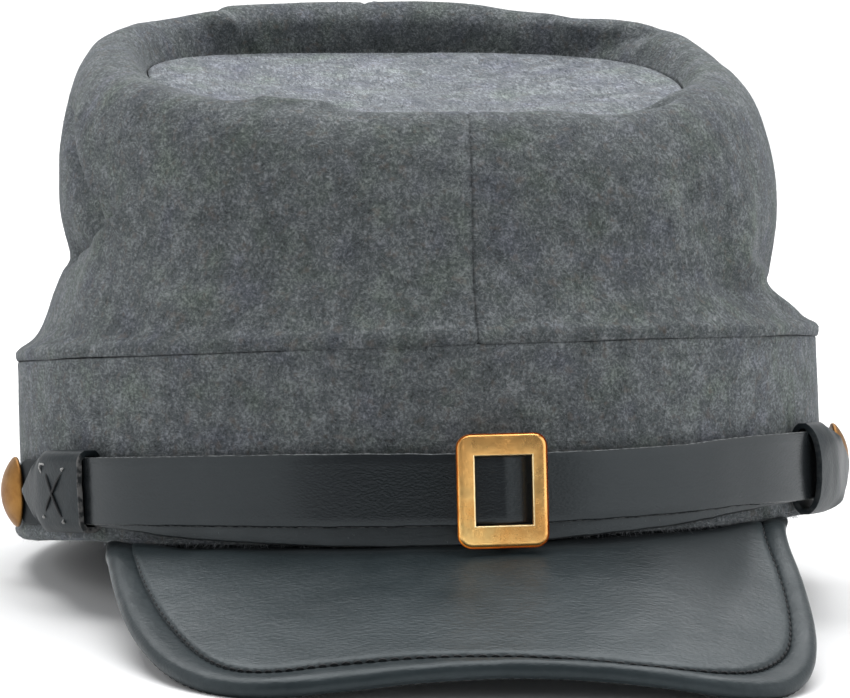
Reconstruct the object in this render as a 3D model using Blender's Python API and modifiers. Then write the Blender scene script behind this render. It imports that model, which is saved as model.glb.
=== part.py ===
"""A kepi cap in wool cloth and leather, modelled at its real size in metres, +Z up.

The cap is modelled about its own axis first: the seam between band and crown is the
plane z = 0, the wearer's face is towards -Y, and every ring is walked from the front
round by +X.  An empty then tips the whole cap back, so that it stands by itself on the
visor's two low corners and on the back edge of the band.
"""

from math import asin, atan2, cos, degrees, exp, hypot, pi, radians, sin, sqrt

import bmesh
import bpy
from mathutils import Euler, Matrix, Vector

# ---------------------------------------------------------------- driving dimensions

GAP = 0.0003                    # clearance between neighbouring pieces

# Head band: an upright oval hoop of doubled wool.
BAND_HALF_WIDTH = 0.0875
BAND_HALF_LENGTH = 0.1020
BAND_HEIGHT = 0.0380
BAND_WALL = 0.0024
BAND_SIDES = 64
BAND_ROWS = 3

# Crown: wool side wall and sunken tip.
CROWN_WALL = 0.0020
CROWN_SIDES = 68
CROWN_STEPS = 14                # rings between the band seam and the tip seam
TIP_WALL = 0.0020
TIP_RINGS = 3
TIP_DISH = 0.0012               # how far the tip sags at its middle

# Visor: a leather sheet bound along its edge, a rounded rectangle seen from above.
VISOR_HALF_WIDTH = 0.0683
VISOR_SHIFT = -0.0043           # sewn in a little towards the left
VISOR_ROOT_LEFT = 0.0600        # where the outline's ends lie, in front of the axis
VISOR_ROOT_RIGHT = 0.0700
VISOR_FRONT = 0.1500            # the middle of the front edge, in front of the axis
VISOR_LEFT_POWER = 5.2
VISOR_RIGHT_POWER = 7.0
VISOR_FRONT_POWER = 2.95
VISOR_SLOPE = 0.44              # fall for each metre ahead of the band's front
VISOR_ARCH = 0.0101             # how much lower the sheet lies at its sides than midway
VISOR_ARCH_POWER = 1.9
VISOR_TWIST = 0.0041            # right side lower, left side higher, at the front corners
VISOR_TWIST_START = 0.0420      # the twist grows from this far behind the band's front
VISOR_TWIST_REACH = 0.0900
VISOR_SOFTNESS = 0.0020         # reach of the bend where the sheet leaves the band
VISOR_LEATHER = 0.0018
VISOR_FLANGE = 0.0070           # turned up inside the band
VISOR_COLUMNS = 41
VISOR_ROWS = 4
BINDING_LEATHER = 0.0006
BINDING_WIDTH = 0.0056
BINDING_STOP = 0.985            # share of the band's outer oval where its ends stop

# Chin strap: two layers of leather held by a sliding buckle and two keepers.
STRAP_LEATHER = 0.0012
STRAP_HALF_WIDTH = 0.0069
STRAP_STEP = 3.5                # degrees between the cross-sections
STRAP_CENTRE_Z = -0.0280
INNER_STRAP_SAG = 0.0027        # how much lower the inner layer lies at the front
INNER_STRAP_SAG_END = 52.0      # degrees round from the front
INNER_STRAP_END = 86.0          # degrees round from the front, under the button
OUTER_STRAP_END = 62.5          # degrees, inside the keeper
STRAP_FINE_REACH = 7            # degrees each side of the bar with a cross-section each
STRAP_TAPER_START = 77.0        # degrees; from here the inner strap narrows to its end
STRAP_TAPER = 0.55
KEEPER_LIFT_START = 36.0        # degrees; the keepers lift the straps off the band
KEEPER_LIFT_RISE = 16.0
KEEPER_LIFT_END = 64.0
KEEPER_LIFT_FALL = 7.0
BUCKLE_ANGLE = 1.9
BUCKLE_CENTRE_Z = -0.0284
BUCKLE_LIFT_REACH = 0.0040      # how far beside the bar the strap is lifted by it

# Buckle: a cast brass frame with its bar behind the strap.
BUCKLE_WIDTH = 0.0173
BUCKLE_HEIGHT = 0.0220
BUCKLE_THICKNESS = 0.0019
BUCKLE_CORNER = 0.0030
BUCKLE_EDGE = 0.0003            # small bevel along all its edges
WINDOW_WIDTH = 0.0112
WINDOW_HEIGHT = 0.0133
BUCKLE_TILT = 1.0               # degrees, right side up
BAR_WIDTH = 0.0028
BAR_THICKNESS = 0.0011
BAR_POST_Z = 0.0078             # where the bar's two posts start, past the strap's edges
BAR_POST_HEIGHT = 0.0018

# Keepers: leather sleeves round both straps, with a pointed tab towards the button.
KEEPER_LEATHER = 0.0012
KEEPER_HALF_HEIGHT = 0.0082
KEEPER_CENTRE_Z = -0.0281
KEEPER_CORNER = 0.0013
KEEPER_FLAT_STEPS = 3
KEEPER_CORNER_STEPS = 1
KEEPER_SLEEVE_STEPS = 3
KEEPER_TAB_STEPS = 5
KEEPER_FLATTEN = 0.4            # share of the tab in which the sleeve's corners open out
KEEPER_POINT = 0.93             # how much of its height the tab loses towards the tip
KEEPER_SLEEVE_END = 63.5        # degrees round from the front
KEEPERS = (
    # side    sign  start  tip    tip_out  shoulder (share of the tab that stays full height)
    ("left",  -1.0, 54.9, 71.2, 0.0036, 0.45),
    ("right", 1.0,  52.6, 70.8, 0.0058, 0.20),
)

# Buttons: domed brass on a short shank through strap and band.
BUTTON_RADIUS = 0.0075
BUTTON_DOME = 0.0034
BUTTON_RIM = 0.0010
BUTTON_ANGLE = 82.0
BUTTON_STEPS = 16
BUTTON_DOME_STEPS = 6
BUTTON_RIM_ROUNDING = 0.4       # share of the rim that is rounded under at the back
BUTTON_BACK = 0.94              # share of the radius that the flat back covers
SHANK_RADIUS = 0.0014
SHANK_HOLE_RADIUS = 0.0018
SHANK_FOOT_RADIUS = 0.0027
SHANK_FOOT = 0.0008
SHANK_CUTTER_DEPTH = 0.0160
SHANK_CUTTER_SIDES = 12

# How the cap stands by itself.
REST_PITCH = 6.145              # degrees, front tipped up
REST_ROLL = 2.539               # degrees, right side tipped up
REST_X = -0.0012                # moves the middle of the whole cap over the origin
REST_Y = 0.0267
REST_LIFT = 0.0493              # height of the seam plane's middle above the surface

# Crown rings from the band seam over the roll to the tip seam.  Reaches are measured
# from the axis; heights are above the seam plane.
CROWN_COLUMNS = (
    "left", "right", "front", "back", "z_left", "z_right", "z_front", "z_back", "power",
)
CROWN_ROWS = (
    # ring        left    right   front   back    z_left  z_right z_front z_back  power
    ("seam",      0.0875, 0.0878, 0.1020, 0.1020, 0.0016, 0.0016, 0.0016, 0.0016, 2.00),
    ("hem",       0.0826, 0.0838, 0.0998, 0.1005, 0.0060, 0.0048, 0.0050, 0.0060, 2.02),
    ("flare",     0.0790, 0.0770, 0.0968, 0.0975, 0.0140, 0.0108, 0.0115, 0.0150, 2.05),
    ("waist",     0.0752, 0.0783, 0.0945, 0.0950, 0.0235, 0.0170, 0.0180, 0.0250, 2.08),
    ("bulge",     0.0757, 0.0796, 0.0925, 0.0945, 0.0350, 0.0310, 0.0275, 0.0420, 2.12),
    ("upper",     0.0750, 0.0784, 0.0890, 0.0915, 0.0490, 0.0430, 0.0370, 0.0590, 2.18),
    ("shoulder",  0.0732, 0.0758, 0.0840, 0.0875, 0.0590, 0.0540, 0.0430, 0.0720, 2.24),
    ("roll_out",  0.0694, 0.0720, 0.0785, 0.0830, 0.0650, 0.0608, 0.0462, 0.0811, 2.30),
    ("roll_top",  0.0640, 0.0672, 0.0735, 0.0770, 0.0668, 0.0640, 0.0470, 0.0850, 2.36),
    ("roll_in",   0.0598, 0.0632, 0.0695, 0.0710, 0.0655, 0.0635, 0.0462, 0.0800, 2.42),
    ("tip_seam",  0.0568, 0.0596, 0.0665, 0.0718, 0.0615, 0.0590, 0.0445, 0.0720, 2.46),
)

# Folds and dents of the crown: a swell (or a sunken valley, where negative) along a
# line from one point to another; angles in degrees round from the front, rows counted
# from the seam ring, breadth across the line.
FOLD_COLUMNS = ("angle", "row", "to_angle", "to_row", "swell", "breadth")
FOLDS = (
    ("left_tuck",        -77.0, 3.8, -84.0, 4.7, -0.0055, 0.0058),
    ("left_front_edge",  -66.0, 3.7, -76.0, 5.4, 0.0016, 0.0070),
    ("left_ridge",       -60.0, 3.4, -44.0, 1.6, 0.0020, 0.0080),
    ("left_back_bulge",  -98.0, 3.6, -98.0, 4.6, 0.0014, 0.0100),
    ("right_ridge",      52.0, 3.2, 66.0, 1.6, 0.0018, 0.0070),
    ("left_back_crease", -141.0, 6.6, -150.0, 9.6, -0.0040, 0.0070),
    ("right_back_dip",   138.0, 6.8, 134.0, 9.4, -0.0036, 0.0100),
    ("back_tuck",        -172.0, 3.0, 150.0, 3.6, -0.0045, 0.0110),
)
ROW_PITCH = 0.0105              # mean distance between two crown rows
MEAN_RADIUS = 0.0850            # turns angles round the crown into distances
FOLD_FREE_ROWS = 1.2            # folds die away this close to the band seam and tip seam

# ------------------------------------------------------------------------- helpers


def clear_scene():
    for existing in list(bpy.data.objects):
        bpy.data.objects.remove(existing)


def new_collection(name):
    collection = bpy.data.collections.new(name)
    bpy.context.scene.collection.children.link(collection)
    return collection


def new_material(name, colour, roughness, metallic):
    material = bpy.data.materials.new(name)
    material.use_nodes = True
    shader = material.node_tree.nodes["Principled BSDF"]
    shader.inputs["Base Color"].default_value = (*colour, 1.0)
    shader.inputs["Roughness"].default_value = roughness
    shader.inputs["Metallic"].default_value = metallic
    return material


def smooth_step(value):
    value = max(0.0, min(1.0, value))
    return value * value * (3.0 - 2.0 * value)


def blend(start, end, share):
    return start + (end - start) * share


def loft(name, sections, closed):
    """A surface through equally long rows of points; closed joins each row's ends."""
    mesh = bmesh.new()
    rows = [[mesh.verts.new(point) for point in section] for section in sections]
    count = len(rows[0])
    for lower, upper in zip(rows, rows[1:]):
        for index in range(count if closed else count - 1):
            following = (index + 1) % count
            mesh.faces.new((lower[index], lower[following], upper[following], upper[index]))
    data = bpy.data.meshes.new(name)
    mesh.to_mesh(data)
    mesh.free()
    return data


def place(name, data, material, collection, parent, sharp_angle=40.0):
    """Makes the piece's object under the rest empty, shaded smooth up to sharp_angle."""
    data.materials.append(material)
    data.shade_smooth()
    data.set_sharp_from_angle(angle=radians(sharp_angle))
    piece = bpy.data.objects.new(name, data)
    collection.objects.link(piece)
    piece.parent = parent
    return piece


def thicken(piece, wall, offset):
    shell = piece.modifiers.new("Wall", "SOLIDIFY")
    shell.thickness = wall
    shell.offset = offset
    shell.use_even_offset = True
    return shell


def cut(piece, cutter, operation="DIFFERENCE"):
    boolean = piece.modifiers.new("Cut by " + cutter.name, "BOOLEAN")
    boolean.operation = operation
    boolean.object = cutter
    return boolean


def make_guide(guide):
    guide.hide_render = True
    guide.display_type = "WIRE"


def evenly_spaced(points, count):
    """Resamples a polyline into count points at equal distances along it."""
    lengths = [0.0]
    for previous, point in zip(points, points[1:]):
        lengths.append(lengths[-1] + (point - previous).length)
    result = []
    segment = 0
    for index in range(count):
        target = lengths[-1] * index / (count - 1)
        while segment < len(points) - 2 and lengths[segment + 1] < target:
            segment += 1
        span = lengths[segment + 1] - lengths[segment]
        share = (target - lengths[segment]) / span
        result.append(points[segment].lerp(points[segment + 1], min(1.0, share)))
    return result


# ------------------------------------------------------------------- shape of the cap


def band_point(angle, out, height):
    """A point at a distance out from the band's outer face; angle in radians."""
    across = sin(angle)
    ahead = cos(angle)
    foot = Vector((BAND_HALF_WIDTH * across, -BAND_HALF_LENGTH * ahead, height))
    normal = Vector((BAND_HALF_LENGTH * across, -BAND_HALF_WIDTH * ahead, 0.0))
    return foot + normal.normalized() * out


def crown_row_values(position):
    """Catmull-Rom value of every crown column at a row position, 0 at the seam."""
    last = len(CROWN_ROWS) - 1
    start = min(int(position), last - 1)
    share = position - start
    picked = [CROWN_ROWS[max(0, min(last, start + step))][1:] for step in (-1, 0, 1, 2)]
    values = {}
    for column, (p0, p1, p2, p3) in zip(CROWN_COLUMNS, zip(*picked)):
        values[column] = 0.5 * (
            2.0 * p1
            + (p2 - p0) * share
            + (2.0 * p0 - 5.0 * p1 + 4.0 * p2 - p3) * share ** 2
            + (3.0 * p1 - p0 - 3.0 * p2 + p3) * share ** 3
        )
    return values


def fold_swell(angle, position):
    """How far the crown's surface stands out at an angle and row position."""
    swell = 0.0
    for _name, *numbers in FOLDS:
        fold = dict(zip(FOLD_COLUMNS, numbers))
        turn = radians(fold["to_angle"] - fold["angle"])
        turn = atan2(sin(turn), cos(turn))
        away = angle - radians(fold["angle"])
        away = atan2(sin(away), cos(away))
        line_x = turn * MEAN_RADIUS
        line_y = (fold["to_row"] - fold["row"]) * ROW_PITCH
        x = away * MEAN_RADIUS
        y = (position - fold["row"]) * ROW_PITCH
        along = (x * line_x + y * line_y) / (line_x ** 2 + line_y ** 2)
        along = max(0.0, min(1.0, along))
        distance = hypot(x - along * line_x, y - along * line_y)
        fade = exp(-((distance / fold["breadth"]) ** 2))
        swell += fold["swell"] * fade
    last = len(CROWN_ROWS) - 1
    calm = smooth_step(position / FOLD_FREE_ROWS)
    calm *= smooth_step((last - position) / FOLD_FREE_ROWS)
    return swell * calm


def crown_height(values, across, ahead):
    """Height of a ring where its plan shares are across (right 1) and ahead (front 1)."""
    left, right = values["z_left"], values["z_right"]
    front, back = values["z_front"], values["z_back"]
    middle = (left + right + front + back) / 4.0
    skew = (front + back - left - right) / 4.0
    pitch = (back - front) / 2.0
    lean = (right - left) / 2.0
    return middle - pitch * ahead + lean * across + skew * (ahead ** 2 - across ** 2)


def squared(share, power):
    """A sine or cosine pushed outwards, which squares the ring's corners."""
    return abs(share) ** (2.0 / power) * (1.0 if share > 0.0 else -1.0)


def crown_point(angle, position, inset=0.0):
    values = crown_row_values(position)
    across = squared(sin(angle), values["power"])
    ahead = squared(cos(angle), values["power"])
    grow = fold_swell(angle, position) - inset
    x = (values["right" if across > 0.0 else "left"] + grow) * across
    y = -(values["front" if ahead > 0.0 else "back"] + grow) * ahead
    return Vector((x, y, crown_height(values, across, ahead)))


def visor_fall(x, y):
    """How far the bent sheet would lie below the band's bottom edge, before softening."""
    ahead = -y - BAND_HALF_LENGTH
    across = x / VISOR_HALF_WIDTH
    arch = VISOR_ARCH * abs(across) ** VISOR_ARCH_POWER
    twist = VISOR_TWIST * across * (VISOR_TWIST_START + ahead) / VISOR_TWIST_REACH
    fall = VISOR_SLOPE * ahead + arch + twist
    return (fall + hypot(fall, VISOR_SOFTNESS)) / 2.0


def visor_top(x, y):
    """The visor's upper face: it leaves the band's bottom edge and falls ahead of it."""
    band_front = -BAND_HALF_LENGTH * sqrt(1.0 - (x / BAND_HALF_WIDTH) ** 2)
    fall = max(0.0, visor_fall(x, y) - visor_fall(x, band_front))
    return -BAND_HEIGHT - GAP - fall


def visor_point(plan, depth):
    """A point at a depth below the visor's upper face, square to that face."""
    step = GAP
    x, y = plan
    top = visor_top(x, y)
    slope_x = (visor_top(x + step, y) - visor_top(x - step, y)) / (2.0 * step)
    slope_y = (visor_top(x, y + step) - visor_top(x, y - step)) / (2.0 * step)
    normal = Vector((-slope_x, -slope_y, 1.0)).normalized()
    return Vector((x, y, top)) - normal * depth


def visor_edge(count):
    """The visor's edge from left to right as pairs of a plan point and its inward way."""
    edge = []
    fine = count * 8
    for index in range(fine + 1):
        turn = pi * index / fine
        power = VISOR_LEFT_POWER if turn < pi / 2.0 else VISOR_RIGHT_POWER
        across = abs(cos(turn)) ** (2.0 / power) * (-1.0 if turn < pi / 2.0 else 1.0)
        ahead = sin(turn) ** (2.0 / VISOR_FRONT_POWER) if 0 < index < fine else 0.0
        root = blend(VISOR_ROOT_LEFT, VISOR_ROOT_RIGHT, (1.0 + across) / 2.0)
        x = VISOR_SHIFT + VISOR_HALF_WIDTH * across
        edge.append(Vector((x, -blend(root, VISOR_FRONT, ahead))))
    edge = evenly_spaced(edge, count)
    pairs = []
    for index, point in enumerate(edge):
        along = edge[min(count - 1, index + 1)] - edge[max(0, index - 1)]
        along.normalize()
        pairs.append((point, Vector((-along.y, along.x))))
    return pairs


def binding_reach(edge, inward):
    """How far in the binding may run before it would meet the visor's flange."""
    reach = 0.0
    step = 0.0005
    while reach < BINDING_WIDTH:
        point = edge + inward * (reach + step)
        if hypot(point.x / BAND_HALF_WIDTH, point.y / BAND_HALF_LENGTH) < BINDING_STOP:
            break
        reach += step
    return reach


def strap_height(angle, sag):
    """Height of a strap's centre line; the inner layer sags towards the front."""
    turn = min(1.0, abs(degrees(angle)) / INNER_STRAP_SAG_END)
    return STRAP_CENTRE_Z - sag * cos(turn * pi / 2.0)


def inner_strap_out(angle):
    """Distance of the inner strap's middle from the band; keepers lift it."""
    turn = abs(degrees(angle))
    rise = smooth_step((turn - KEEPER_LIFT_START) / KEEPER_LIFT_RISE)
    fall = smooth_step((turn - KEEPER_LIFT_END) / KEEPER_LIFT_FALL)
    return GAP + STRAP_LEATHER / 2.0 + rise * (1.0 - fall) * (KEEPER_LEATHER + GAP)


def outer_strap_out(angle):
    """The outer strap lies on the inner one and is lifted by the buckle's bar."""
    beside = (angle - radians(BUCKLE_ANGLE)) * BAND_HALF_WIDTH
    lift = exp(-((beside / BUCKLE_LIFT_REACH) ** 2)) * (BAR_THICKNESS + 2.0 * GAP)
    return inner_strap_out(angle) + STRAP_LEATHER + GAP + lift


# ------------------------------------------------------------------------- pieces


def make_band(material, collection, rest):
    angles = [2.0 * pi * index / BAND_SIDES for index in range(BAND_SIDES)]
    rings = []
    for row in range(BAND_ROWS + 1):
        height = BAND_HEIGHT * (row / BAND_ROWS - 1.0)
        rings.append([band_point(angle, 0.0, height) for angle in angles])
    band = place("band", loft("band", rings, True), material, collection, rest)
    thicken(band, BAND_WALL, -1.0)
    return band


def make_crown_side(material, collection, rest):
    angles = [2.0 * pi * index / CROWN_SIDES for index in range(CROWN_SIDES)]
    last = len(CROWN_ROWS) - 1
    seam = [crown_point(angle, 0.0) for angle in angles]
    rings = [[Vector((point.x, point.y, GAP)) for point in seam], seam]
    for step in range(1, CROWN_STEPS + 1):
        position = last * step / CROWN_STEPS
        rings.append([crown_point(angle, position) for angle in angles])
    side = place("crown_side", loft("crown_side", rings, True), material, collection, rest, 70.0)
    thicken(side, CROWN_WALL, -1.0)
    return side


def tip_plane(x, y):
    """Height of the plane through the tip seam's left, right, front and back points."""
    seam = crown_row_values(len(CROWN_ROWS) - 1)
    slope_x = (seam["z_right"] - seam["z_left"]) / (seam["right"] + seam["left"])
    slope_y = (seam["z_back"] - seam["z_front"]) / (seam["back"] + seam["front"])
    return seam["z_front"] + slope_y * (y + seam["front"]) + slope_x * x


def make_crown_tip(material, collection, rest):
    """The sunken top: it sags from the seam to a flat middle."""
    angles = [2.0 * pi * index / CROWN_SIDES for index in range(CROWN_SIDES)]
    last = len(CROWN_ROWS) - 1
    rim = [crown_point(angle, last, GAP) for angle in angles]
    centre = sum(rim, Vector()) / len(rim)
    rings = []
    for ring in range(TIP_RINGS):
        share = ring / TIP_RINGS
        flat = ring / (TIP_RINGS - 1)
        points = []
        for point in rim:
            x, y, z = point.lerp(centre, share)
            points.append(Vector((x, y, blend(z, tip_plane(x, y), flat) - TIP_DISH * flat)))
        rings.append(points)
    data = loft("crown_tip", rings, True)
    mesh = bmesh.new()
    mesh.from_mesh(data)
    innermost = CROWN_SIDES * (TIP_RINGS - 1)
    inner = [edge for edge in mesh.edges if min(vert.index for vert in edge.verts) >= innermost]
    bmesh.ops.contextual_create(mesh, geom=inner)
    mesh.to_mesh(data)
    mesh.free()
    tip = place("crown_tip", data, material, collection, rest)
    thicken(tip, TIP_WALL, -1.0)
    return tip


def make_visor(material, collection, rest):
    """The leather sheet, with a flange turned up inside the band."""
    pairs = visor_edge(VISOR_COLUMNS)
    half = VISOR_LEATHER / 2.0
    below = BINDING_LEATHER + GAP + half
    rim_inset = below
    inside = -(BAND_WALL + 2.0 * GAP + half)
    left = asin((VISOR_SHIFT - VISOR_HALF_WIDTH) / BAND_HALF_WIDTH)
    right = asin((VISOR_SHIFT + VISOR_HALF_WIDTH) / BAND_HALF_WIDTH)
    columns = []
    for index, (edge, inward) in enumerate(pairs):
        angle = blend(left, right, index / (VISOR_COLUMNS - 1))
        flange_top = band_point(angle, inside, -BAND_HEIGHT + VISOR_FLANGE)
        flange_foot = band_point(angle, inside, -BAND_HEIGHT - below)
        foot = Vector((flange_foot.x, flange_foot.y))
        shoulder = edge + inward * binding_reach(edge, inward)
        column = [flange_top, flange_foot]
        for row in range(1, VISOR_ROWS + 1):
            column.append(visor_point(foot.lerp(shoulder, row / VISOR_ROWS), below))
        column.append(visor_point(edge + inward * rim_inset, below))
        columns.append(column)
    visor = place("visor", loft("visor", columns, False), material, collection, rest)
    thicken(visor, VISOR_LEATHER, 0.0)
    return visor


def make_visor_binding(material, collection, rest):
    """A thin strip folded over the visor's edge, as a U-shaped sheet."""
    half = BINDING_LEATHER / 2.0
    depth = VISOR_LEATHER + 2.0 * GAP + BINDING_LEATHER
    bend = depth / 2.0
    bend_points = []
    for turn in (45.0, 90.0, 135.0):
        bend_points.append((bend * (1.0 - sin(radians(turn))), bend * (1.0 - cos(radians(turn)))))
    columns = []
    for edge, inward in visor_edge(VISOR_COLUMNS):
        reach = binding_reach(edge, inward)
        profile = [(reach, 0.0), (bend, 0.0), *bend_points, (bend, depth), (reach, depth)]
        column = []
        for inset, drop in profile:
            column.append(visor_point(edge + inward * (half + inset), half + drop))
        columns.append(column)
    data = loft("visor_binding", columns, False)
    binding = place("visor_binding", data, material, collection, rest, 70.0)
    thicken(binding, BINDING_LEATHER, 0.0)
    return binding


def strap_angles(end, fine_centre=None):
    """Angles along a strap, closer together where the buckle's bar lifts it."""
    count = round(2.0 * end / STRAP_STEP)
    angles = [blend(-end, end, index / count) for index in range(count + 1)]
    if fine_centre is not None:
        reach = STRAP_FINE_REACH
        angles = [angle for angle in angles if abs(angle - fine_centre) > reach]
        angles += [fine_centre + offset for offset in range(-reach, reach + 1)]
        angles.sort()
    return [radians(angle) for angle in angles]


def strap_taper(angle):
    """The inner strap's ends narrow under the buttons."""
    beyond = abs(degrees(angle)) - STRAP_TAPER_START
    return 1.0 - STRAP_TAPER * smooth_step(beyond / (INNER_STRAP_END - STRAP_TAPER_START))


def make_strap(name, end, out_rule, sag, fine_centre, material, collection, rest):
    columns = []
    for angle in strap_angles(end, fine_centre):
        centre = strap_height(angle, sag)
        half = STRAP_HALF_WIDTH * strap_taper(angle)
        out = out_rule(angle)
        columns.append([band_point(angle, out, centre + half * side) for side in (-1.0, 0.0, 1.0)])
    strap = place(name, loft(name, columns, False), material, collection, rest)
    thicken(strap, STRAP_LEATHER, 0.0)
    return strap


def keeper_ring(inner_out, outer_out):
    """The sleeve's cross-section as (out, height), going round from the outer wall."""
    flat = KEEPER_HALF_HEIGHT - KEEPER_CORNER
    rounding = []
    for step in range(1, KEEPER_CORNER_STEPS + 1):
        turn = radians(90.0 * step / (KEEPER_CORNER_STEPS + 1))
        rounding.append((KEEPER_CORNER * (1.0 - cos(turn)), flat + KEEPER_CORNER * sin(turn)))
    ring = []
    for wall, other, inward, upward in (
        (outer_out, inner_out, -1.0, 1.0),
        (inner_out, outer_out, 1.0, -1.0),
    ):
        for step in range(KEEPER_FLAT_STEPS + 1):
            ring.append((wall, upward * blend(-flat, flat, step / KEEPER_FLAT_STEPS)))
        for rounded, height in rounding:
            ring.append((wall + inward * rounded, upward * height))
        for rounded, height in reversed(rounding):
            ring.append((other - inward * rounded, upward * height))
    return ring


def make_keeper(name, sign, start, tip, tip_out, shoulder, material, collection, rest):
    """A sleeve round both straps whose outer wall runs on as a pointed tab."""
    half = KEEPER_LEATHER / 2.0
    inner_out = GAP + half
    outer_out = inner_out + half + 2.0 * STRAP_LEATHER + 3.0 * GAP + half
    mesh = bmesh.new()

    def column(angle, profile):
        turn = sign * radians(angle)
        points = [band_point(turn, out, KEEPER_CENTRE_Z + height) for out, height in profile]
        return [mesh.verts.new(point) for point in points]

    ring = keeper_ring(inner_out, outer_out)
    count = len(ring)
    sleeve = []
    for step in range(KEEPER_SLEEVE_STEPS + 1):
        sleeve.append(column(blend(start, KEEPER_SLEEVE_END, step / KEEPER_SLEEVE_STEPS), ring))
    for near, far in zip(sleeve, sleeve[1:]):
        for index in range(count):
            following = (index + 1) % count
            mesh.faces.new((near[index], near[following], far[following], far[index]))
    tab_ring = list(range(-KEEPER_CORNER_STEPS, KEEPER_FLAT_STEPS + 1 + KEEPER_CORNER_STEPS))
    previous = [sleeve[-1][index] for index in tab_ring]
    for step in range(1, KEEPER_TAB_STEPS + 1):
        share = step / KEEPER_TAB_STEPS
        narrow = 1.0 - KEEPER_POINT * max(0.0, share - shoulder) / (1.0 - shoulder)
        flatten = smooth_step(share / KEEPER_FLATTEN)
        tab_out = blend(outer_out, tip_out, smooth_step(share))
        profile = []
        for rank, index in enumerate(tab_ring):
            side = 2.0 * rank / (len(tab_ring) - 1) - 1.0
            out, height = ring[index]
            height = blend(height, KEEPER_HALF_HEIGHT * side, flatten) * narrow
            profile.append((blend(out, tab_out, flatten), height))
        current = column(blend(KEEPER_SLEEVE_END, tip, share), profile)
        for near, far in zip(zip(previous, current), zip(previous[1:], current[1:])):
            mesh.faces.new((near[0], far[0], far[1], near[1]))
        previous = current
    data = bpy.data.meshes.new(name)
    mesh.to_mesh(data)
    mesh.free()
    keeper = place(name, data, material, collection, rest)
    thicken(keeper, KEEPER_LEATHER, 0.0)
    return keeper


def outward_matrix(angle, out, height):
    """A place on the band whose local +Z points straight out of it and local +Y up."""
    origin = band_point(angle, out, height)
    normal = (band_point(angle, out + 1.0, height) - origin).normalized()
    up = Vector((0.0, 0.0, 1.0))
    across = up.cross(normal)
    frame = Matrix((across, up, normal)).transposed().to_4x4()
    return Matrix.Translation(origin) @ frame


def make_button(name, sign, material, collection, rest):
    """A domed button turned round its own axis, on a shank with a flat foot."""
    strap_face = GAP + STRAP_LEATHER
    shank_depth = strap_face + GAP + BAND_WALL + GAP
    dome_radius = (BUTTON_RADIUS ** 2 + BUTTON_DOME ** 2) / (2.0 * BUTTON_DOME)
    profile = []
    for step in range(BUTTON_DOME_STEPS + 1):
        radius = BUTTON_RADIUS * step / BUTTON_DOME_STEPS
        height = BUTTON_RIM + sqrt(dome_radius ** 2 - radius ** 2) - dome_radius + BUTTON_DOME
        profile.append((radius, height))
    profile.append((BUTTON_RADIUS, BUTTON_RIM * BUTTON_RIM_ROUNDING))
    profile.append((BUTTON_RADIUS * BUTTON_BACK, 0.0))
    profile.append((SHANK_RADIUS, 0.0))
    profile.append((SHANK_RADIUS, -shank_depth))
    profile.append((SHANK_FOOT_RADIUS, -shank_depth))
    profile.append((SHANK_FOOT_RADIUS, -shank_depth - SHANK_FOOT))
    profile.append((0.0, -shank_depth - SHANK_FOOT))
    mesh = bmesh.new()
    corners = [mesh.verts.new((radius, 0.0, height)) for radius, height in profile]
    for start, end in zip(corners, corners[1:]):
        mesh.edges.new((start, end))
    data = bpy.data.meshes.new(name)
    mesh.to_mesh(data)
    mesh.free()
    button = place(name, data, material, collection, rest)
    turned = button.modifiers.new("Turned", "SCREW")
    turned.axis = "Z"
    turned.steps = BUTTON_STEPS
    turned.render_steps = BUTTON_STEPS
    turned.use_merge_vertices = True
    turned.merge_threshold = 0.00005
    turned.use_smooth_shade = True
    button.matrix_local = outward_matrix(sign * radians(BUTTON_ANGLE), strap_face + GAP, STRAP_CENTRE_Z)
    return button


def make_shank_cutter(sign, guides, rest):
    mesh = bmesh.new()
    bmesh.ops.create_cone(
        mesh,
        cap_ends=True,
        segments=SHANK_CUTTER_SIDES,
        radius1=SHANK_HOLE_RADIUS,
        radius2=SHANK_HOLE_RADIUS,
        depth=SHANK_CUTTER_DEPTH,
    )
    data = bpy.data.meshes.new("shank_cutter")
    mesh.to_mesh(data)
    mesh.free()
    cutter = bpy.data.objects.new("shank_cutter", data)
    guides.objects.link(cutter)
    cutter.parent = rest
    cutter.matrix_local = outward_matrix(sign * radians(BUTTON_ANGLE), 0.0, STRAP_CENTRE_Z)
    make_guide(cutter)
    return cutter


def block(name, size, centre, guides, parent):
    mesh = bmesh.new()
    bmesh.ops.create_cube(mesh, size=1.0)
    bmesh.ops.scale(mesh, vec=size, verts=mesh.verts[:])
    bmesh.ops.translate(mesh, vec=centre, verts=mesh.verts[:])
    data = bpy.data.meshes.new(name)
    mesh.to_mesh(data)
    mesh.free()
    guide = bpy.data.objects.new(name, data)
    guides.objects.link(guide)
    guide.parent = parent
    make_guide(guide)
    return guide


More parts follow.
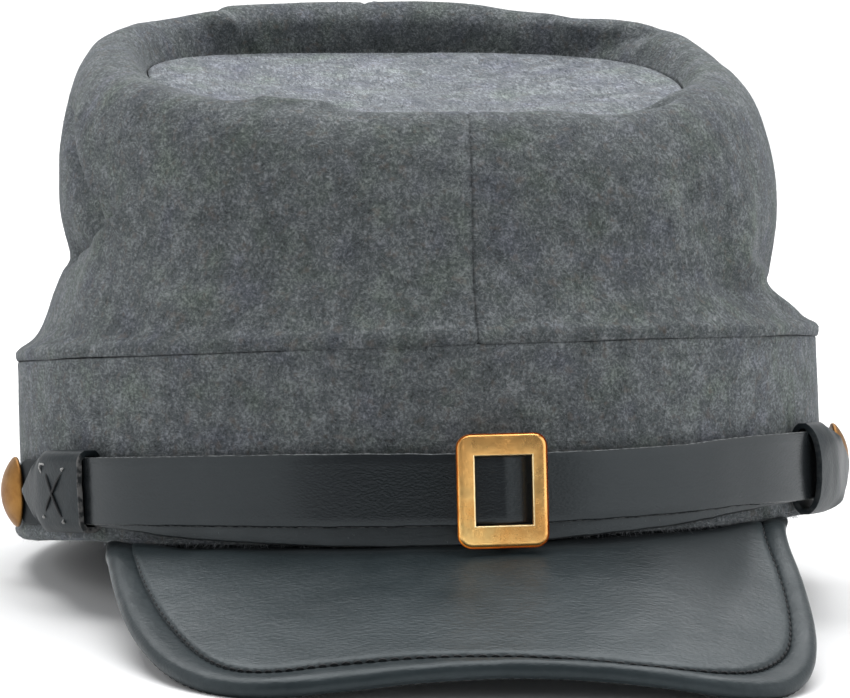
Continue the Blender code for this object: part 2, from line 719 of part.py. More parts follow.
def make_buckle(material, collection, guides, rest):
    """The frame stands off the straps; a staple-shaped bar behind them joins it."""
    angle = radians(BUCKLE_ANGLE)
    bar_back = 2.0 * GAP + STRAP_LEATHER
    lifted_face = outer_strap_out(angle) + STRAP_LEATHER / 2.0
    frame_back = lifted_face + GAP
    mesh = bmesh.new()
    bmesh.ops.create_cube(mesh, size=1.0)
    size = (BUCKLE_WIDTH, BUCKLE_HEIGHT, BUCKLE_THICKNESS)
    bmesh.ops.scale(mesh, vec=size, verts=mesh.verts[:])
    middle = (0.0, 0.0, frame_back + BUCKLE_THICKNESS / 2.0)
    bmesh.ops.translate(mesh, vec=middle, verts=mesh.verts[:])
    corners = []
    for edge in mesh.edges:
        start, end = edge.verts
        if abs(start.co.z - end.co.z) > BUCKLE_THICKNESS / 2.0:
            corners.append(edge)
    bmesh.ops.bevel(
        mesh, geom=corners, offset=BUCKLE_CORNER, affect="EDGES", segments=4, profile=0.5
    )
    data = bpy.data.meshes.new("buckle")
    mesh.to_mesh(data)
    mesh.free()
    buckle = place("buckle", data, material, collection, rest)
    seat = outward_matrix(angle, 0.0, BUCKLE_CENTRE_Z)
    tilt = Matrix.Rotation(radians(BUCKLE_TILT), 4, "Z")
    buckle.matrix_local = seat @ tilt

    post_top = BAR_POST_Z + BAR_POST_HEIGHT
    bar_depth = frame_back + BUCKLE_THICKNESS / 2.0 - bar_back
    staple_size = (BAR_WIDTH, 2.0 * post_top, bar_depth)
    staple = block("staple", staple_size, (0.0, 0.0, bar_back + bar_depth / 2.0), guides, buckle)
    channel_floor = bar_back + BAR_THICKNESS
    channel_size = (BAR_WIDTH * 2.0, 2.0 * BAR_POST_Z, bar_depth)
    channel_centre = (0.0, 0.0, channel_floor + bar_depth / 2.0)
    cut(staple, block("strap_channel", channel_size, channel_centre, guides, buckle))
    window_size = (WINDOW_WIDTH, WINDOW_HEIGHT, 2.0 * BUCKLE_THICKNESS)
    window_centre = (0.0, 0.0, frame_back + BUCKLE_THICKNESS / 2.0)
    cut(buckle, block("window", window_size, window_centre, guides, buckle))
    cut(buckle, staple, "UNION")
    rounding = buckle.modifiers.new("Rounding", "BEVEL")
    rounding.width = BUCKLE_EDGE
    rounding.segments = 1
    rounding.limit_method = "ANGLE"
    rounding.angle_limit = radians(40.0)
    return buckle


# ------------------------------------------------------------------------- assembly


def build():
    clear_scene()
    cap = new_collection("kepi_cap")
    guides = new_collection("guides")

    rest = bpy.data.objects.new("rest_pose", None)
    cap.objects.link(rest)
    rest.rotation_euler = Euler((radians(-REST_PITCH), radians(-REST_ROLL), 0.0), "XYZ")
    rest.location = (REST_X, REST_Y, REST_LIFT)

    wool = new_material("grey_wool", (0.118, 0.128, 0.135), 0.95, 0.0)
    tip_wool = new_material("grey_wool_tip", (0.150, 0.160, 0.170), 0.95, 0.0)
    band_wool = new_material("grey_wool_band", (0.108, 0.118, 0.122), 0.95, 0.0)
    visor_leather = new_material("black_visor_leather", (0.030, 0.036, 0.038), 0.45, 0.0)
    edge_leather = new_material("black_binding_leather", (0.022, 0.026, 0.028), 0.50, 0.0)
    strap_leather = new_material("black_strap_leather", (0.018, 0.021, 0.023), 0.30, 0.0)
    inner_leather = new_material("black_inner_strap_leather", (0.020, 0.022, 0.024), 0.40, 0.0)
    keeper_leather = new_material("black_keeper_leather", (0.026, 0.030, 0.032), 0.50, 0.0)
    buckle_brass = new_material("polished_brass", (0.80, 0.48, 0.17), 0.22, 1.0)
    button_brass = new_material("satin_brass", (0.62, 0.36, 0.13), 0.38, 1.0)

    band = make_band(band_wool, cap, rest)
    make_crown_side(wool, cap, rest)
    make_crown_tip(tip_wool, cap, rest)
    make_visor(visor_leather, cap, rest)
    make_visor_binding(edge_leather, cap, rest)
    inner_strap = make_strap(
        "strap_inner", INNER_STRAP_END, inner_strap_out, INNER_STRAP_SAG, None,
        inner_leather, cap, rest,
    )
    make_strap(
        "strap_outer", OUTER_STRAP_END, outer_strap_out, 0.0, BUCKLE_ANGLE,
        strap_leather, cap, rest,
    )
    make_buckle(buckle_brass, cap, guides, rest)
    for side, sign, start, tip, tip_out, shoulder in KEEPERS:
        make_keeper("keeper_" + side, sign, start, tip, tip_out, shoulder, keeper_leather, cap, rest)
        make_button("button_" + side, sign, button_brass, cap, rest)
        shank_cutter = make_shank_cutter(sign, guides, rest)
        cut(band, shank_cutter)
        cut(inner_strap, shank_cutter)


build()
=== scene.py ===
"""Looks of a wool and leather kepi cap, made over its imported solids.

Each piece is shaped about the cap's own axis, with the seam between band and crown at
z = 0 and the wearer's face towards -Y, and is then tipped into the pose in which the
cap rests by itself.  Angles run round the cap from the front, positive towards +X.
Sizes are in metres.  Tables and named values give angles in degrees, but for the few
marked as radians, which is what the functions take.
"""

from collections import namedtuple
from functools import lru_cache
from math import asin, atan2, cos, degrees, exp, hypot, pi, radians, sin, sqrt, tanh

import bmesh
import bpy
from mathutils import Euler, Matrix, Vector, noise


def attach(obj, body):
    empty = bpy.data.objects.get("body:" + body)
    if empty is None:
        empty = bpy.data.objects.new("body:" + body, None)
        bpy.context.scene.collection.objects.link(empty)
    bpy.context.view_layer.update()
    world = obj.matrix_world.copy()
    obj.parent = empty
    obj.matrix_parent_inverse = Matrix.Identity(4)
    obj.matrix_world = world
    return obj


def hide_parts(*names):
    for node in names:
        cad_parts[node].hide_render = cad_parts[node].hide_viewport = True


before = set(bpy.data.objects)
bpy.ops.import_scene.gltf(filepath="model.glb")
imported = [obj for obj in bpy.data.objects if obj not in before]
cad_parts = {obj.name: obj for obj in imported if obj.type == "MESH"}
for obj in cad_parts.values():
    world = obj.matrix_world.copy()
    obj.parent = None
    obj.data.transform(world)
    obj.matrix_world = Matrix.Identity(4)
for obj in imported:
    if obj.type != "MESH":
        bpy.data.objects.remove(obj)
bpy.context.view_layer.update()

# ------------------------------------------------------------- sizes shared by the solids

GAP = 0.0003                       # clearance between pieces that meet

BAND_HALF_WIDTH = 0.0875
BAND_HALF_LENGTH = 0.1020
BAND_HEIGHT = 0.0380
BAND_WALL = 0.0024

CROWN_WALL = 0.0020
TIP_WALL = 0.0020
TIP_DISH = 0.0012

VISOR_HALF_WIDTH = 0.0683
VISOR_SHIFT = -0.0043
VISOR_ROOT_LEFT = 0.0600
VISOR_ROOT_RIGHT = 0.0660
VISOR_FRONT = 0.1500
VISOR_LEFT_POWER = 5.2
VISOR_RIGHT_POWER = 7.0
VISOR_FRONT_POWER = 2.95
VISOR_SLOPE = 0.44
VISOR_ARCH = 0.0101
VISOR_ARCH_POWER = 1.9
VISOR_TWIST = 0.0041
VISOR_TWIST_START = 0.0420
VISOR_TWIST_REACH = 0.0900
VISOR_SOFTNESS = 0.0020
VISOR_LEATHER = 0.0018
VISOR_FLANGE = 0.0070
# Near the band its edge draws in on the left and out on the right, and runs on under it.
VISOR_LEFT_DRAW = 0.0008
VISOR_RIGHT_DRAW = 0.0042
VISOR_DRAW_START = 0.0920
VISOR_DRAW_LENGTH = 0.0270
VISOR_TAIL = 0.0040
BINDING_LEATHER = 0.0006

STRAP_LEATHER = 0.0012
STRAP_HALF_WIDTH = 0.0069
STRAP_CENTRE_Z = -0.0280
INNER_STRAP_END = 86.0
OUTER_STRAP_END = 62.5
STRAP_TAPER_START = 77.0
STRAP_TAPER = 0.55
KEEPER_LIFT_START = 36.0
KEEPER_LIFT_RISE = 16.0
KEEPER_LIFT_END = 64.0
KEEPER_LIFT_FALL = 7.0

BUCKLE_ANGLE = 1.9
BUCKLE_CENTRE_Z = -0.0284
BUCKLE_WIDTH = 0.0173
BUCKLE_HEIGHT = 0.0220
BUCKLE_THICKNESS = 0.0014
BUCKLE_CORNER = 0.0026
BUCKLE_TILT = -0.6
BUCKLE_DISH = 0.0009               # how far its left side is bent up
BUCKLE_LEFT_EXTRA = 0.0006         # how much broader its left bar is cast
WINDOW_WIDTH = 0.0112
WINDOW_HEIGHT = 0.0133
WINDOW_CHAMFER = 0.00036
BAR_WIDTH = 0.0028
BAR_THICKNESS = 0.0011
BAR_POST_Z = 0.0078
BAR_POST_HEIGHT = 0.0018

KEEPER_LEATHER = 0.0012
KEEPER_POINT = 0.95
KEEPER_FLATTEN = 0.4
KEEPER_SAG = 0.40                  # how far a tab sags halfway, as a share of its sleeve's bulge
Keeper = namedtuple("Keeper", (
    "side", "sign",
    "start", "sleeve_end", "tip",                      # angles from the front, in degrees
    "tip_out", "centre_z", "half_height", "corner", "tall_corner", "bulge",
    "narrowing",                                       # how soon its point narrows, above and below
    "cut_edge",                                        # how pale its cut edge is
))
KEEPERS = (
    Keeper(
        "left", sign=-1.0, start=54.9, sleeve_end=64.0, tip=70.0, tip_out=0.0052,
        centre_z=-0.0272, half_height=0.00785, corner=0.0017, tall_corner=0.0020,
        bulge=0.0003, narrowing=(1.0, 1.0), cut_edge=1.0,
    ),
    Keeper(
        "right", sign=1.0, start=52.6, sleeve_end=58.4, tip=70.8, tip_out=0.0059,
        centre_z=-0.0278, half_height=0.00900, corner=0.0022, tall_corner=0.0046,
        bulge=0.0012, narrowing=(1.0, 1.6), cut_edge=0.12,
    ),
)

BUTTON_RADIUS = 0.0075
BUTTON_DOME = 0.0029
BUTTON_RIM = 0.0008
BUTTONS = {"left": (81.0, 0.0, 0.0), "right": (82.0, 0.0015, 0.0010)}   # angle, stand-off, rise
SHANK_RADIUS = 0.0014
SHANK_FOOT_RADIUS = 0.0027
SHANK_FOOT = 0.0008

REST_PITCH = 6.145
REST_ROLL = 2.539
REST_PLACE = (-0.0012, 0.0267, 0.0493)

CROWN_COLUMNS = ("left", "right", "front", "back", "z_left", "z_right", "z_front", "z_back", "power")
CROWN_ROWS = (
    # ring        left    right   front   back    z_left  z_right z_front z_back  power
    ("seam",      0.0875, 0.0878, 0.1020, 0.1020, 0.0016, 0.0016, 0.0016, 0.0016, 2.00),
    ("hem",       0.0826, 0.0838, 0.0998, 0.1005, 0.0060, 0.0048, 0.0050, 0.0060, 2.02),
    ("flare",     0.0790, 0.0770, 0.0968, 0.0975, 0.0140, 0.0108, 0.0115, 0.0150, 2.05),
    ("waist",     0.0752, 0.0783, 0.0945, 0.0950, 0.0235, 0.0170, 0.0180, 0.0250, 2.08),
    ("bulge",     0.0757, 0.0796, 0.0925, 0.0945, 0.0350, 0.0310, 0.0275, 0.0420, 2.12),
    ("upper",     0.0750, 0.0784, 0.0890, 0.0915, 0.0490, 0.0430, 0.0370, 0.0590, 2.18),
    ("shoulder",  0.0732, 0.0758, 0.0840, 0.0875, 0.0590, 0.0540, 0.0430, 0.0720, 2.24),
    ("roll_out",  0.0694, 0.0720, 0.0785, 0.0830, 0.0650, 0.0608, 0.0462, 0.0811, 2.30),
    ("roll_top",  0.0640, 0.0672, 0.0735, 0.0770, 0.0668, 0.0640, 0.0470, 0.0850, 2.36),
    ("roll_in",   0.0598, 0.0632, 0.0695, 0.0710, 0.0655, 0.0635, 0.0462, 0.0800, 2.42),
    ("tip_seam",  0.0568, 0.0596, 0.0665, 0.0718, 0.0615, 0.0590, 0.0445, 0.0720, 2.46),
)
LAST_ROW = len(CROWN_ROWS) - 1

# Folds of the crown: a swell, or a sunken valley where negative, along a line from one
# point to another; angles in degrees, rows counted from the seam ring.
FOLDS = (
    # name                angle   row  to_angle to_row swell  breadth
    ("left_tuck",        -77.0, 3.8, -84.0, 4.7, -0.0055, 0.0058),
    ("left_front_edge",  -66.0, 3.7, -76.0, 5.4, 0.0016, 0.0070),
    ("left_ridge",       -60.0, 3.4, -44.0, 1.6, 0.0020, 0.0080),
    ("left_back_bulge",  -98.0, 3.6, -98.0, 4.6, 0.0014, 0.0100),
    ("right_ridge",      52.0, 3.2, 66.0, 1.6, 0.0018, 0.0070),
    ("left_back_crease", -141.0, 6.6, -150.0, 9.6, -0.0040, 0.0070),
    ("right_back_dip",   138.0, 6.8, 134.0, 9.4, -0.0036, 0.0100),
    ("back_tuck",        -172.0, 3.0, 150.0, 3.6, -0.0045, 0.0110),
)
ROW_PITCH = 0.0105
MEAN_RADIUS = 0.0850
FOLD_FREE_ROWS = 1.2               # rows beside each seam over which folds fade
WRINKLE_FREE_ROWS = 0.9            # the same for wrinkles, at the tip's seam

# -------------------------------------------------------------- finer shapes of the cloth

# Creases: the cloth drops by step on one side of a line, to the right of its direction
# as seen from outside, and comes back within reach.
CREASES = (
    # name             angle   row  to_angle to_row step    soft    reach
    ("tuck_edge_top",  -90.0, 5.6, -75.0, 4.7, 0.0030, 0.0005, 0.0050),
    ("tuck_edge",      -75.0, 4.7, -63.0, 3.7, 0.0040, 0.0004, 0.0056),
    ("tuck_floor",     -63.0, 3.7, -88.0, 2.8, 0.0034, 0.0005, 0.0048),
    ("waist_left",     -84.0, 2.75, -108.0, 2.7, 0.0012, 0.0010, 0.0050),
    ("waist_right",    74.0, 2.8, 56.0, 2.95, 0.0014, 0.0010, 0.0050),
    ("back_crease",    -147.0, 7.4, -156.0, 9.9, 0.0008, 0.0012, 0.0060),
)
CREASE_END_REACH = 0.0050

# Shallow finer folds, in the same form as the folds above.
WRINKLES = (
    ("left_run",       -52.0, 5.6, -36.0, 3.9, -0.0009, 0.0050),
    ("left_run_low",   -38.0, 3.6, -24.0, 2.2, -0.0007, 0.0060),
    ("left_flare",     -70.0, 2.6, -58.0, 0.9, 0.0010, 0.0060),
    ("right_dimple",   36.0, 4.1, 44.0, 3.5, -0.0012, 0.0050),
    ("right_drape",    40.0, 3.2, 47.0, 1.8, -0.0008, 0.0050),
    ("right_roll",     112.0, 8.6, 124.0, 9.8, -0.0020, 0.0060),
    ("front_notch",    -40.0, 8.2, -38.0, 8.2, -0.0014, 0.0036),
    ("front_rise",     -31.0, 8.1, -21.0, 8.1, 0.0019, 0.0070),
    ("front_dip",      -8.0, 8.2, 4.0, 8.2, -0.0010, 0.0080),
    ("front_low",      25.0, 8.2, 37.0, 8.6, -0.0052, 0.0090),
    ("left_corner",    -118.0, 6.6, -106.0, 7.4, 0.0006, 0.0090),
    ("left_slope",     -142.0, 7.6, -128.0, 8.4, -0.0010, 0.0090),
    ("right_slope",    152.0, 8.0, 136.0, 8.2, -0.0011, 0.0110),
    ("right_corner",   114.0, 7.6, 106.0, 7.2, 0.0009, 0.0110),
)

SEAM_ANGLES = (0.0, 180.0)         # upright seams of the crown, front and back
SEAM_OFFSETS = (0.00012, 0.0003, 0.0006, 0.0010, 0.0016, 0.0024, 0.0034)
SEAM_LEAN = 1.7                    # degrees the front seam wanders off by the crown's edge
SEAM_LEAN_REACH = 0.6              # radians
SEAM_DEPTH = 0.00042
SEAM_HALF_WIDTH = 0.00032
SEAM_LINE_HALF_WIDTH = 0.00025     # of the painted shade line in it
SEAM_PULL = 0.65                   # share of its depth to which the thread pulls it in
SEAM_PULL_CHANGE = 0.5             # and how much that changes along it
SEAM_PULL_RATE = 420.0             # changes per metre
SEAM_VALLEY = 0.00020
SEAM_VALLEY_HALF_WIDTH = 0.0022
SEAM_WELT = 0.00022                # the pressed-over allowance beside the seam
SEAM_WELT_PLACE = -0.0017
SEAM_WELT_HALF_WIDTH = 0.0006

# Unevenness, as layers of waves: how many to the metre, and how high.
CLOTH_WAVES = ((28.0, 0.00055), (75.0, 0.00022), (210.0, 0.00009))
TIP_WAVES = ((34.0, 0.0011), (90.0, 0.0004), (230.0, 0.0001))
BAND_WAVES = ((26.0, 0.0003), (160.0, 0.00012))
VISOR_WAVES = ((60.0, 0.00025), (160.0, 0.00008))
BINDING_WAVES = ((120.0, 0.00012), (330.0, 0.00005))

CROWN_COLUMN_COUNT = 380
CROWN_ROW_COUNT = 84
HEM_DEPTH = 0.0016
HEM_INSET = 0.0004
HEM_PUFF = 0.0005                  # how far the cloth swells out just above the band
HEM_PUFF_ROW = 0.25
HEM_PUFF_ROWS = 0.35
TIP_TUCK = 0.0016                  # how far the crown's wall runs down behind the tip
TIP_TUCK_SPREAD = 0.0002

VISOR_TUCK = 0.0010                # how far its corners are pressed up behind the band's edge
VISOR_TUCK_REACH = 0.0060
VISOR_CORNERS = (0.75, 0.90)       # shares of its half width over which they begin
SLOPE_STEP = 0.0003                # how far apart the visor's slope is measured
EDGE_STEPS = 400                   # steps of its outline
END_STEPS = 4                      # steps that give the way of its ends
LENGTH_POINTS = 361                # points by which its length is measured

STITCH_PITCH = 0.0023
STITCH_RADIUS = 0.00018
COLUMNS_PER_STITCH = 3

# ------------------------------------------------------------------------ small helpers


def blend(start, end, share):
    return start + (end - start) * share


def smooth_step(value):
    value = max(0.0, min(1.0, value))
    return value * value * (3.0 - 2.0 * value)


def fade(value, start, end):
    """Goes smoothly from 0 at start to 1 at end."""
    return smooth_step((value - start) / (end - start))


def bell(value):
    return exp(-value * value)


BELL_REACH = 3.0                   # beyond it a bell curve is as good as flat


def spread(count, start=0.0, end=1.0):
    """count + 1 evenly spaced values from start to end."""
    return [blend(start, end, index / count) for index in range(count + 1)]


def through(before, start, end, after, share):
    """Value on a smooth curve through start and end, by their neighbours."""
    return 0.5 * (
        2.0 * start
        + (end - before) * share
        + (2.0 * before - 5.0 * start + 4.0 * end - after) * share ** 2
        + (3.0 * start - before - 3.0 * end + after) * share ** 3
    )


def read_course(table, at):
    """Values of a table at a place between its rows, on a smooth curve through them."""
    last = len(table) - 1
    start = max(0, min(last - 1, sum(1 for row in table if row[0] <= at) - 1))
    share = (at - table[start][0]) / (table[start + 1][0] - table[start][0])
    rows = [table[max(0, min(last, start + step))][1:] for step in (-1, 0, 1, 2)]
    return [through(*column, max(0.0, min(1.0, share))) for column in zip(*rows)]


def wrapped(angle):
    return atan2(sin(angle), cos(angle))


def waves(point, layers=CLOTH_WAVES):
    """Uneven height of cloth or leather at a point."""
    return sum(height * noise.noise(point * rate) for rate, height in layers)


def even_walk(points, count):
    """Resamples a polyline into count points at equal distances along it."""
    lengths = [0.0]
    for previous, point in zip(points, points[1:]):
        lengths.append(lengths[-1] + (point - previous).length)
    result = []
    segment = 0
    for target in spread(count - 1, 0.0, lengths[-1]):
        while segment < len(points) - 2 and lengths[segment + 1] < target:
            segment += 1
        share = (target - lengths[segment]) / (lengths[segment + 1] - lengths[segment])
        result.append(points[segment].lerp(points[segment + 1], min(1.0, share)))
    return result


# ------------------------------------------------------------------- shape of the cap


def band_normal(angle):
    return Vector((BAND_HALF_LENGTH * sin(angle), -BAND_HALF_WIDTH * cos(angle), 0.0)).normalized()


def band_point(angle, out, height):
    """A point at a distance out from the band's outer face."""
    foot = Vector((BAND_HALF_WIDTH * sin(angle), -BAND_HALF_LENGTH * cos(angle), height))
    return foot + band_normal(angle) * out


@lru_cache(maxsize=None)
def crown_row_values(position):
    """Value of every crown column at a row position, 0 at the seam."""
    start = min(int(position), LAST_ROW - 1)
    share = position - start
    picked = [CROWN_ROWS[max(0, min(LAST_ROW, start + step))][1:] for step in (-1, 0, 1, 2)]
    return {
        column: through(*points, share) for column, points in zip(CROWN_COLUMNS, zip(*picked))
    }


def on_line(angle, position, line):
    """Distance beyond the ends of a line on the crown, and signed distance beside it."""
    start_angle, start_row, end_angle, end_row = line
    run = wrapped(radians(end_angle - start_angle)) * MEAN_RADIUS
    rise = (end_row - start_row) * ROW_PITCH
    x = wrapped(angle - radians(start_angle)) * MEAN_RADIUS
    y = (position - start_row) * ROW_PITCH
    length = hypot(run, rise)
    along = (x * run + y * rise) / length
    aside = (y * run - x * rise) / length
    beyond = max(0.0, -along, along - length)
    return beyond, aside


def swell_of(angle, position, folds):
    """How far a table of folds lifts the cloth at an angle and row position."""
    swell = 0.0
    for _name, start, row, end, end_row, height, breadth in folds:
        beyond, aside = on_line(angle, position, (start, row, end, end_row))
        distance = hypot(beyond, aside)
        if distance < BELL_REACH * breadth:
            swell += height * bell(distance / breadth)
    return swell


def fold_swell(angle, position):
    """How far the crown's surface stands out at an angle and row position."""
    calm = smooth_step(position / FOLD_FREE_ROWS)
    calm *= smooth_step((LAST_ROW - position) / FOLD_FREE_ROWS)
    return swell_of(angle, position, FOLDS) * calm


def crease_drop(angle, position):
    """How far the cloth is sunk beside the crisp creases."""
    drop = 0.0
    for _name, start, row, end, end_row, step, soft, reach in CREASES:
        beyond, aside = on_line(angle, position, (start, row, end, end_row))
        if abs(aside) < BELL_REACH * reach and beyond < BELL_REACH * CREASE_END_REACH:
            side = (1.0 - tanh(aside / soft)) / 2.0
            near = bell(min(0.0, aside) / reach) * bell(beyond / CREASE_END_REACH)
            drop += step * side * near
    return drop


def crown_height(values, across, ahead):
    """Height of a ring that is tilted and arched through its four named heights."""
    left, right = values["z_left"], values["z_right"]
    front, back = values["z_front"], values["z_back"]
    middle = (left + right + front + back) / 4.0
    skew = (front + back - left - right) / 4.0
    pitch = (back - front) / 2.0
    lean = (right - left) / 2.0
    return middle - pitch * ahead + lean * across + skew * (ahead ** 2 - across ** 2)


def squared(share, power):
    """Turns a sine or cosine into that of a ring squarer than a circle."""
    return abs(share) ** (2.0 / power) * (1.0 if share > 0.0 else -1.0)


def crown_point(angle, position, inset=0.0):
    values = crown_row_values(position)
    across = squared(sin(angle), values["power"])
    ahead = squared(cos(angle), values["power"])
    grow = fold_swell(angle, position) - inset
    x = (values["right" if across > 0.0 else "left"] + grow) * across
    y = -(values["front" if ahead > 0.0 else "back"] + grow) * ahead
    return Vector((x, y, crown_height(values, across, ahead)))


def visor_fall(x, y):
    """How far the visor's upper face falls, by its slope, its arch and its twist."""
    ahead = -y - BAND_HALF_LENGTH
    across = x / VISOR_HALF_WIDTH
    arch = VISOR_ARCH * abs(across) ** VISOR_ARCH_POWER
    twist = VISOR_TWIST * across * (VISOR_TWIST_START + ahead) / VISOR_TWIST_REACH
    fall = VISOR_SLOPE * ahead + arch + twist
    return (fall + hypot(fall, VISOR_SOFTNESS)) / 2.0


def visor_top(x, y):
    band_front = -BAND_HALF_LENGTH * sqrt(1.0 - (x / BAND_HALF_WIDTH) ** 2)
    fall = max(0.0, visor_fall(x, y) - visor_fall(x, band_front))
    return -BAND_HEIGHT - GAP - fall


def visor_normal(x, y):
    step = SLOPE_STEP
    slope_x = (visor_top(x + step, y) - visor_top(x - step, y)) / (2.0 * step)
    slope_y = (visor_top(x, y + step) - visor_top(x, y - step)) / (2.0 * step)
    return Vector((-slope_x, -slope_y, 1.0)).normalized()


def visor_point(plan, depth):
    """A point at a depth below the visor's upper face, square to that face."""
    x, y = plan
    ahead = max(0.0, -y - BAND_HALF_LENGTH * sqrt(max(0.0, 1.0 - (x / BAND_HALF_WIDTH) ** 2)))
    corner = fade(abs(x - VISOR_SHIFT) / VISOR_HALF_WIDTH, *VISOR_CORNERS)
    tucked = VISOR_TUCK * corner * bell(ahead / VISOR_TUCK_REACH)
    return Vector((x, y, visor_top(x, y) + tucked)) - visor_normal(x, y) * depth


def visor_edge(count):
    """The visor's edge from left to right as pairs of a plan point and its inward way."""
    edge = []
    for index in range(EDGE_STEPS + 1):
        turn = pi * index / EDGE_STEPS
        power = VISOR_LEFT_POWER if turn < pi / 2.0 else VISOR_RIGHT_POWER
        across = abs(cos(turn)) ** (2.0 / power) * (-1.0 if turn < pi / 2.0 else 1.0)
        ahead = sin(turn) ** (2.0 / VISOR_FRONT_POWER) if 0 < index < EDGE_STEPS else 0.0
        root = blend(VISOR_ROOT_LEFT, VISOR_ROOT_RIGHT, (1.0 + across) / 2.0)
        x = VISOR_SHIFT + VISOR_HALF_WIDTH * across
        y = -blend(root, VISOR_FRONT, ahead)
        drawn = max(0.0, y + VISOR_DRAW_START) / VISOR_DRAW_LENGTH
        x += (VISOR_LEFT_DRAW if across < 0.0 else VISOR_RIGHT_DRAW) * drawn ** 2
        edge.append(Vector((x, y)))
    first = (edge[0] - edge[END_STEPS]).normalized()
    last = (edge[-1] - edge[-1 - END_STEPS]).normalized()
    edge = [edge[0] + first * VISOR_TAIL] + edge + [edge[-1] + last * VISOR_TAIL]
    edge = even_walk(edge, count)
    pairs = []
    for index, point in enumerate(edge):
        along = edge[min(count - 1, index + 2)] - edge[max(0, index - 2)]
        along.normalize()
        pairs.append((point, Vector((-along.y, along.x))))
    return pairs


# Where the hand-guided stitch line runs, from the left root round to the right one:
# share of the way along the edge, and its distance from that edge.
STITCH_LINE = (
    (0.00, 0.0064), (0.10, 0.0057), (0.24, 0.0069), (0.33, 0.0056), (0.40, 0.0064),
    (0.52, 0.0043), (0.60, 0.0037), (0.70, 0.0060), (0.76, 0.0052), (1.00, 0.0050),
)


def binding_reach(share):
    """How far the binding's stitched edge lies inside the visor's rim."""
    return read_course(STITCH_LINE, share)[0]


# How the straps lie: angle, how far the middle runs above STRAP_CENTRE_Z, half width.
OUTER_STRAP_COURSE = (
    (-63.0, 0.0010, 0.0068), (-54.0, 0.0010, 0.0068), (-34.0, 0.0008, 0.0070),
    (-17.0, 0.0004, 0.0072), (3.0, -0.0002, 0.0069), (14.0, -0.0002, 0.0068),
    (27.0, 0.0001, 0.0068), (37.0, 0.0008, 0.0069), (50.0, 0.0009, 0.0070),
    (63.0, 0.0009, 0.0070),
)
INNER_STRAP_COURSE = (
    (-86.0, 0.0, 0.0069), (-76.0, 0.0001, 0.0069), (-62.0, 0.0008, 0.0067),
    (-52.0, 0.0004, 0.0068), (-40.0, -0.0016, 0.0069), (-29.0, -0.0027, 0.0069),
    (-17.0, -0.0037, 0.0069),
    (-5.0, -0.0040, 0.0069), (6.0, -0.0037, 0.0069), (15.0, -0.0030, 0.0069),
    (26.0, -0.0022, 0.0069), (36.0, -0.0008, 0.0069), (46.0, 0.0004, 0.0069),
    (60.0, 0.0008, 0.0069), (76.0, 0.0001, 0.0069), (86.0, 0.0, 0.0069),
)
# The ridge of the outer strap over the buckle's bar.
RIDGE_ROUNDING = 0.0006
RIDGE_REACH = 0.0062


def inner_strap_out(angle):
    """The inner strap lies on the band and is lifted by the keepers' inner walls."""
    turn = abs(degrees(angle))
    rise = smooth_step((turn - KEEPER_LIFT_START) / KEEPER_LIFT_RISE)
    fall = smooth_step((turn - KEEPER_LIFT_END) / KEEPER_LIFT_FALL)
    return GAP + STRAP_LEATHER / 2.0 + rise * (1.0 - fall) * (KEEPER_LEATHER + GAP)


def outer_strap_out(angle):
    """The outer strap lies on the inner one and is bent over the buckle's bar."""
    beside = (angle - radians(BUCKLE_ANGLE)) * BAND_HALF_WIDTH
    away = hypot(beside, RIDGE_ROUNDING) - RIDGE_ROUNDING
    lift = exp(-away / RIDGE_REACH) * (BAR_THICKNESS + 2.0 * GAP)
    return inner_strap_out(angle) + STRAP_LEATHER + GAP + lift


def strap_taper(angle):
    """Share of its width that the inner strap keeps towards its ends."""
    beyond = abs(degrees(angle)) - STRAP_TAPER_START
    return 1.0 - STRAP_TAPER * smooth_step(beyond / (INNER_STRAP_END - STRAP_TAPER_START))


def outward_matrix(angle, out, height):
    """A place on the band whose local +Z points straight out of it and local +Y up."""
    normal = band_normal(angle)
    up = Vector((0.0, 0.0, 1.0))
    axes = Matrix((up.cross(normal), up, normal)).transposed().to_4x4()
    return Matrix.Translation(band_point(angle, out, height)) @ axes


REST = Matrix.Translation(REST_PLACE) @ Euler(
    (radians(-REST_PITCH), radians(-REST_ROLL), 0.0), "XYZ"
).to_matrix().to_4x4()

# ------------------------------------------------------------------------ mesh helpers


def bend_grid(mesh, us, vs, place, closed_u=False, closed_v=False):
    """Adds a grid with a column at each of us and a row at each of vs, bent by place."""
    columns, rows = len(us) - 1, len(vs) - 1
    layer_u = mesh.verts.layers.float.get("turn") or mesh.verts.layers.float.new("turn")
    layer_v = mesh.verts.layers.float.get("row") or mesh.verts.layers.float.new("row")
    made = bmesh.ops.create_grid(mesh, x_segments=columns, y_segments=rows, size=0.5)["verts"]
    for vert in made:
        u = us[round((vert.co.x + 0.5) * columns)]
        v = vs[round((vert.co.y + 0.5) * rows)]
        vert[layer_u] = u
        vert[layer_v] = v
        vert.co = place(u, v)
    if closed_u or closed_v:
        rim = [vert for vert in made if vert.is_boundary]
        bmesh.ops.remove_doubles(mesh, verts=rim, dist=1e-6)
    return made


def cap_ends(mesh):
    bmesh.ops.holes_fill(mesh, edges=[edge for edge in mesh.edges if edge.is_boundary], sides=0)


def mark(mesh, title, amount):
    """Writes amount(turn, row) of each vertex for a material to read."""
    layer = mesh.verts.layers.float.new(title)
    layer_u = mesh.verts.layers.float["turn"]
    layer_v = mesh.verts.layers.float["row"]
    for vert in mesh.verts:
        vert[layer] = amount(vert[layer_u], vert[layer_v])


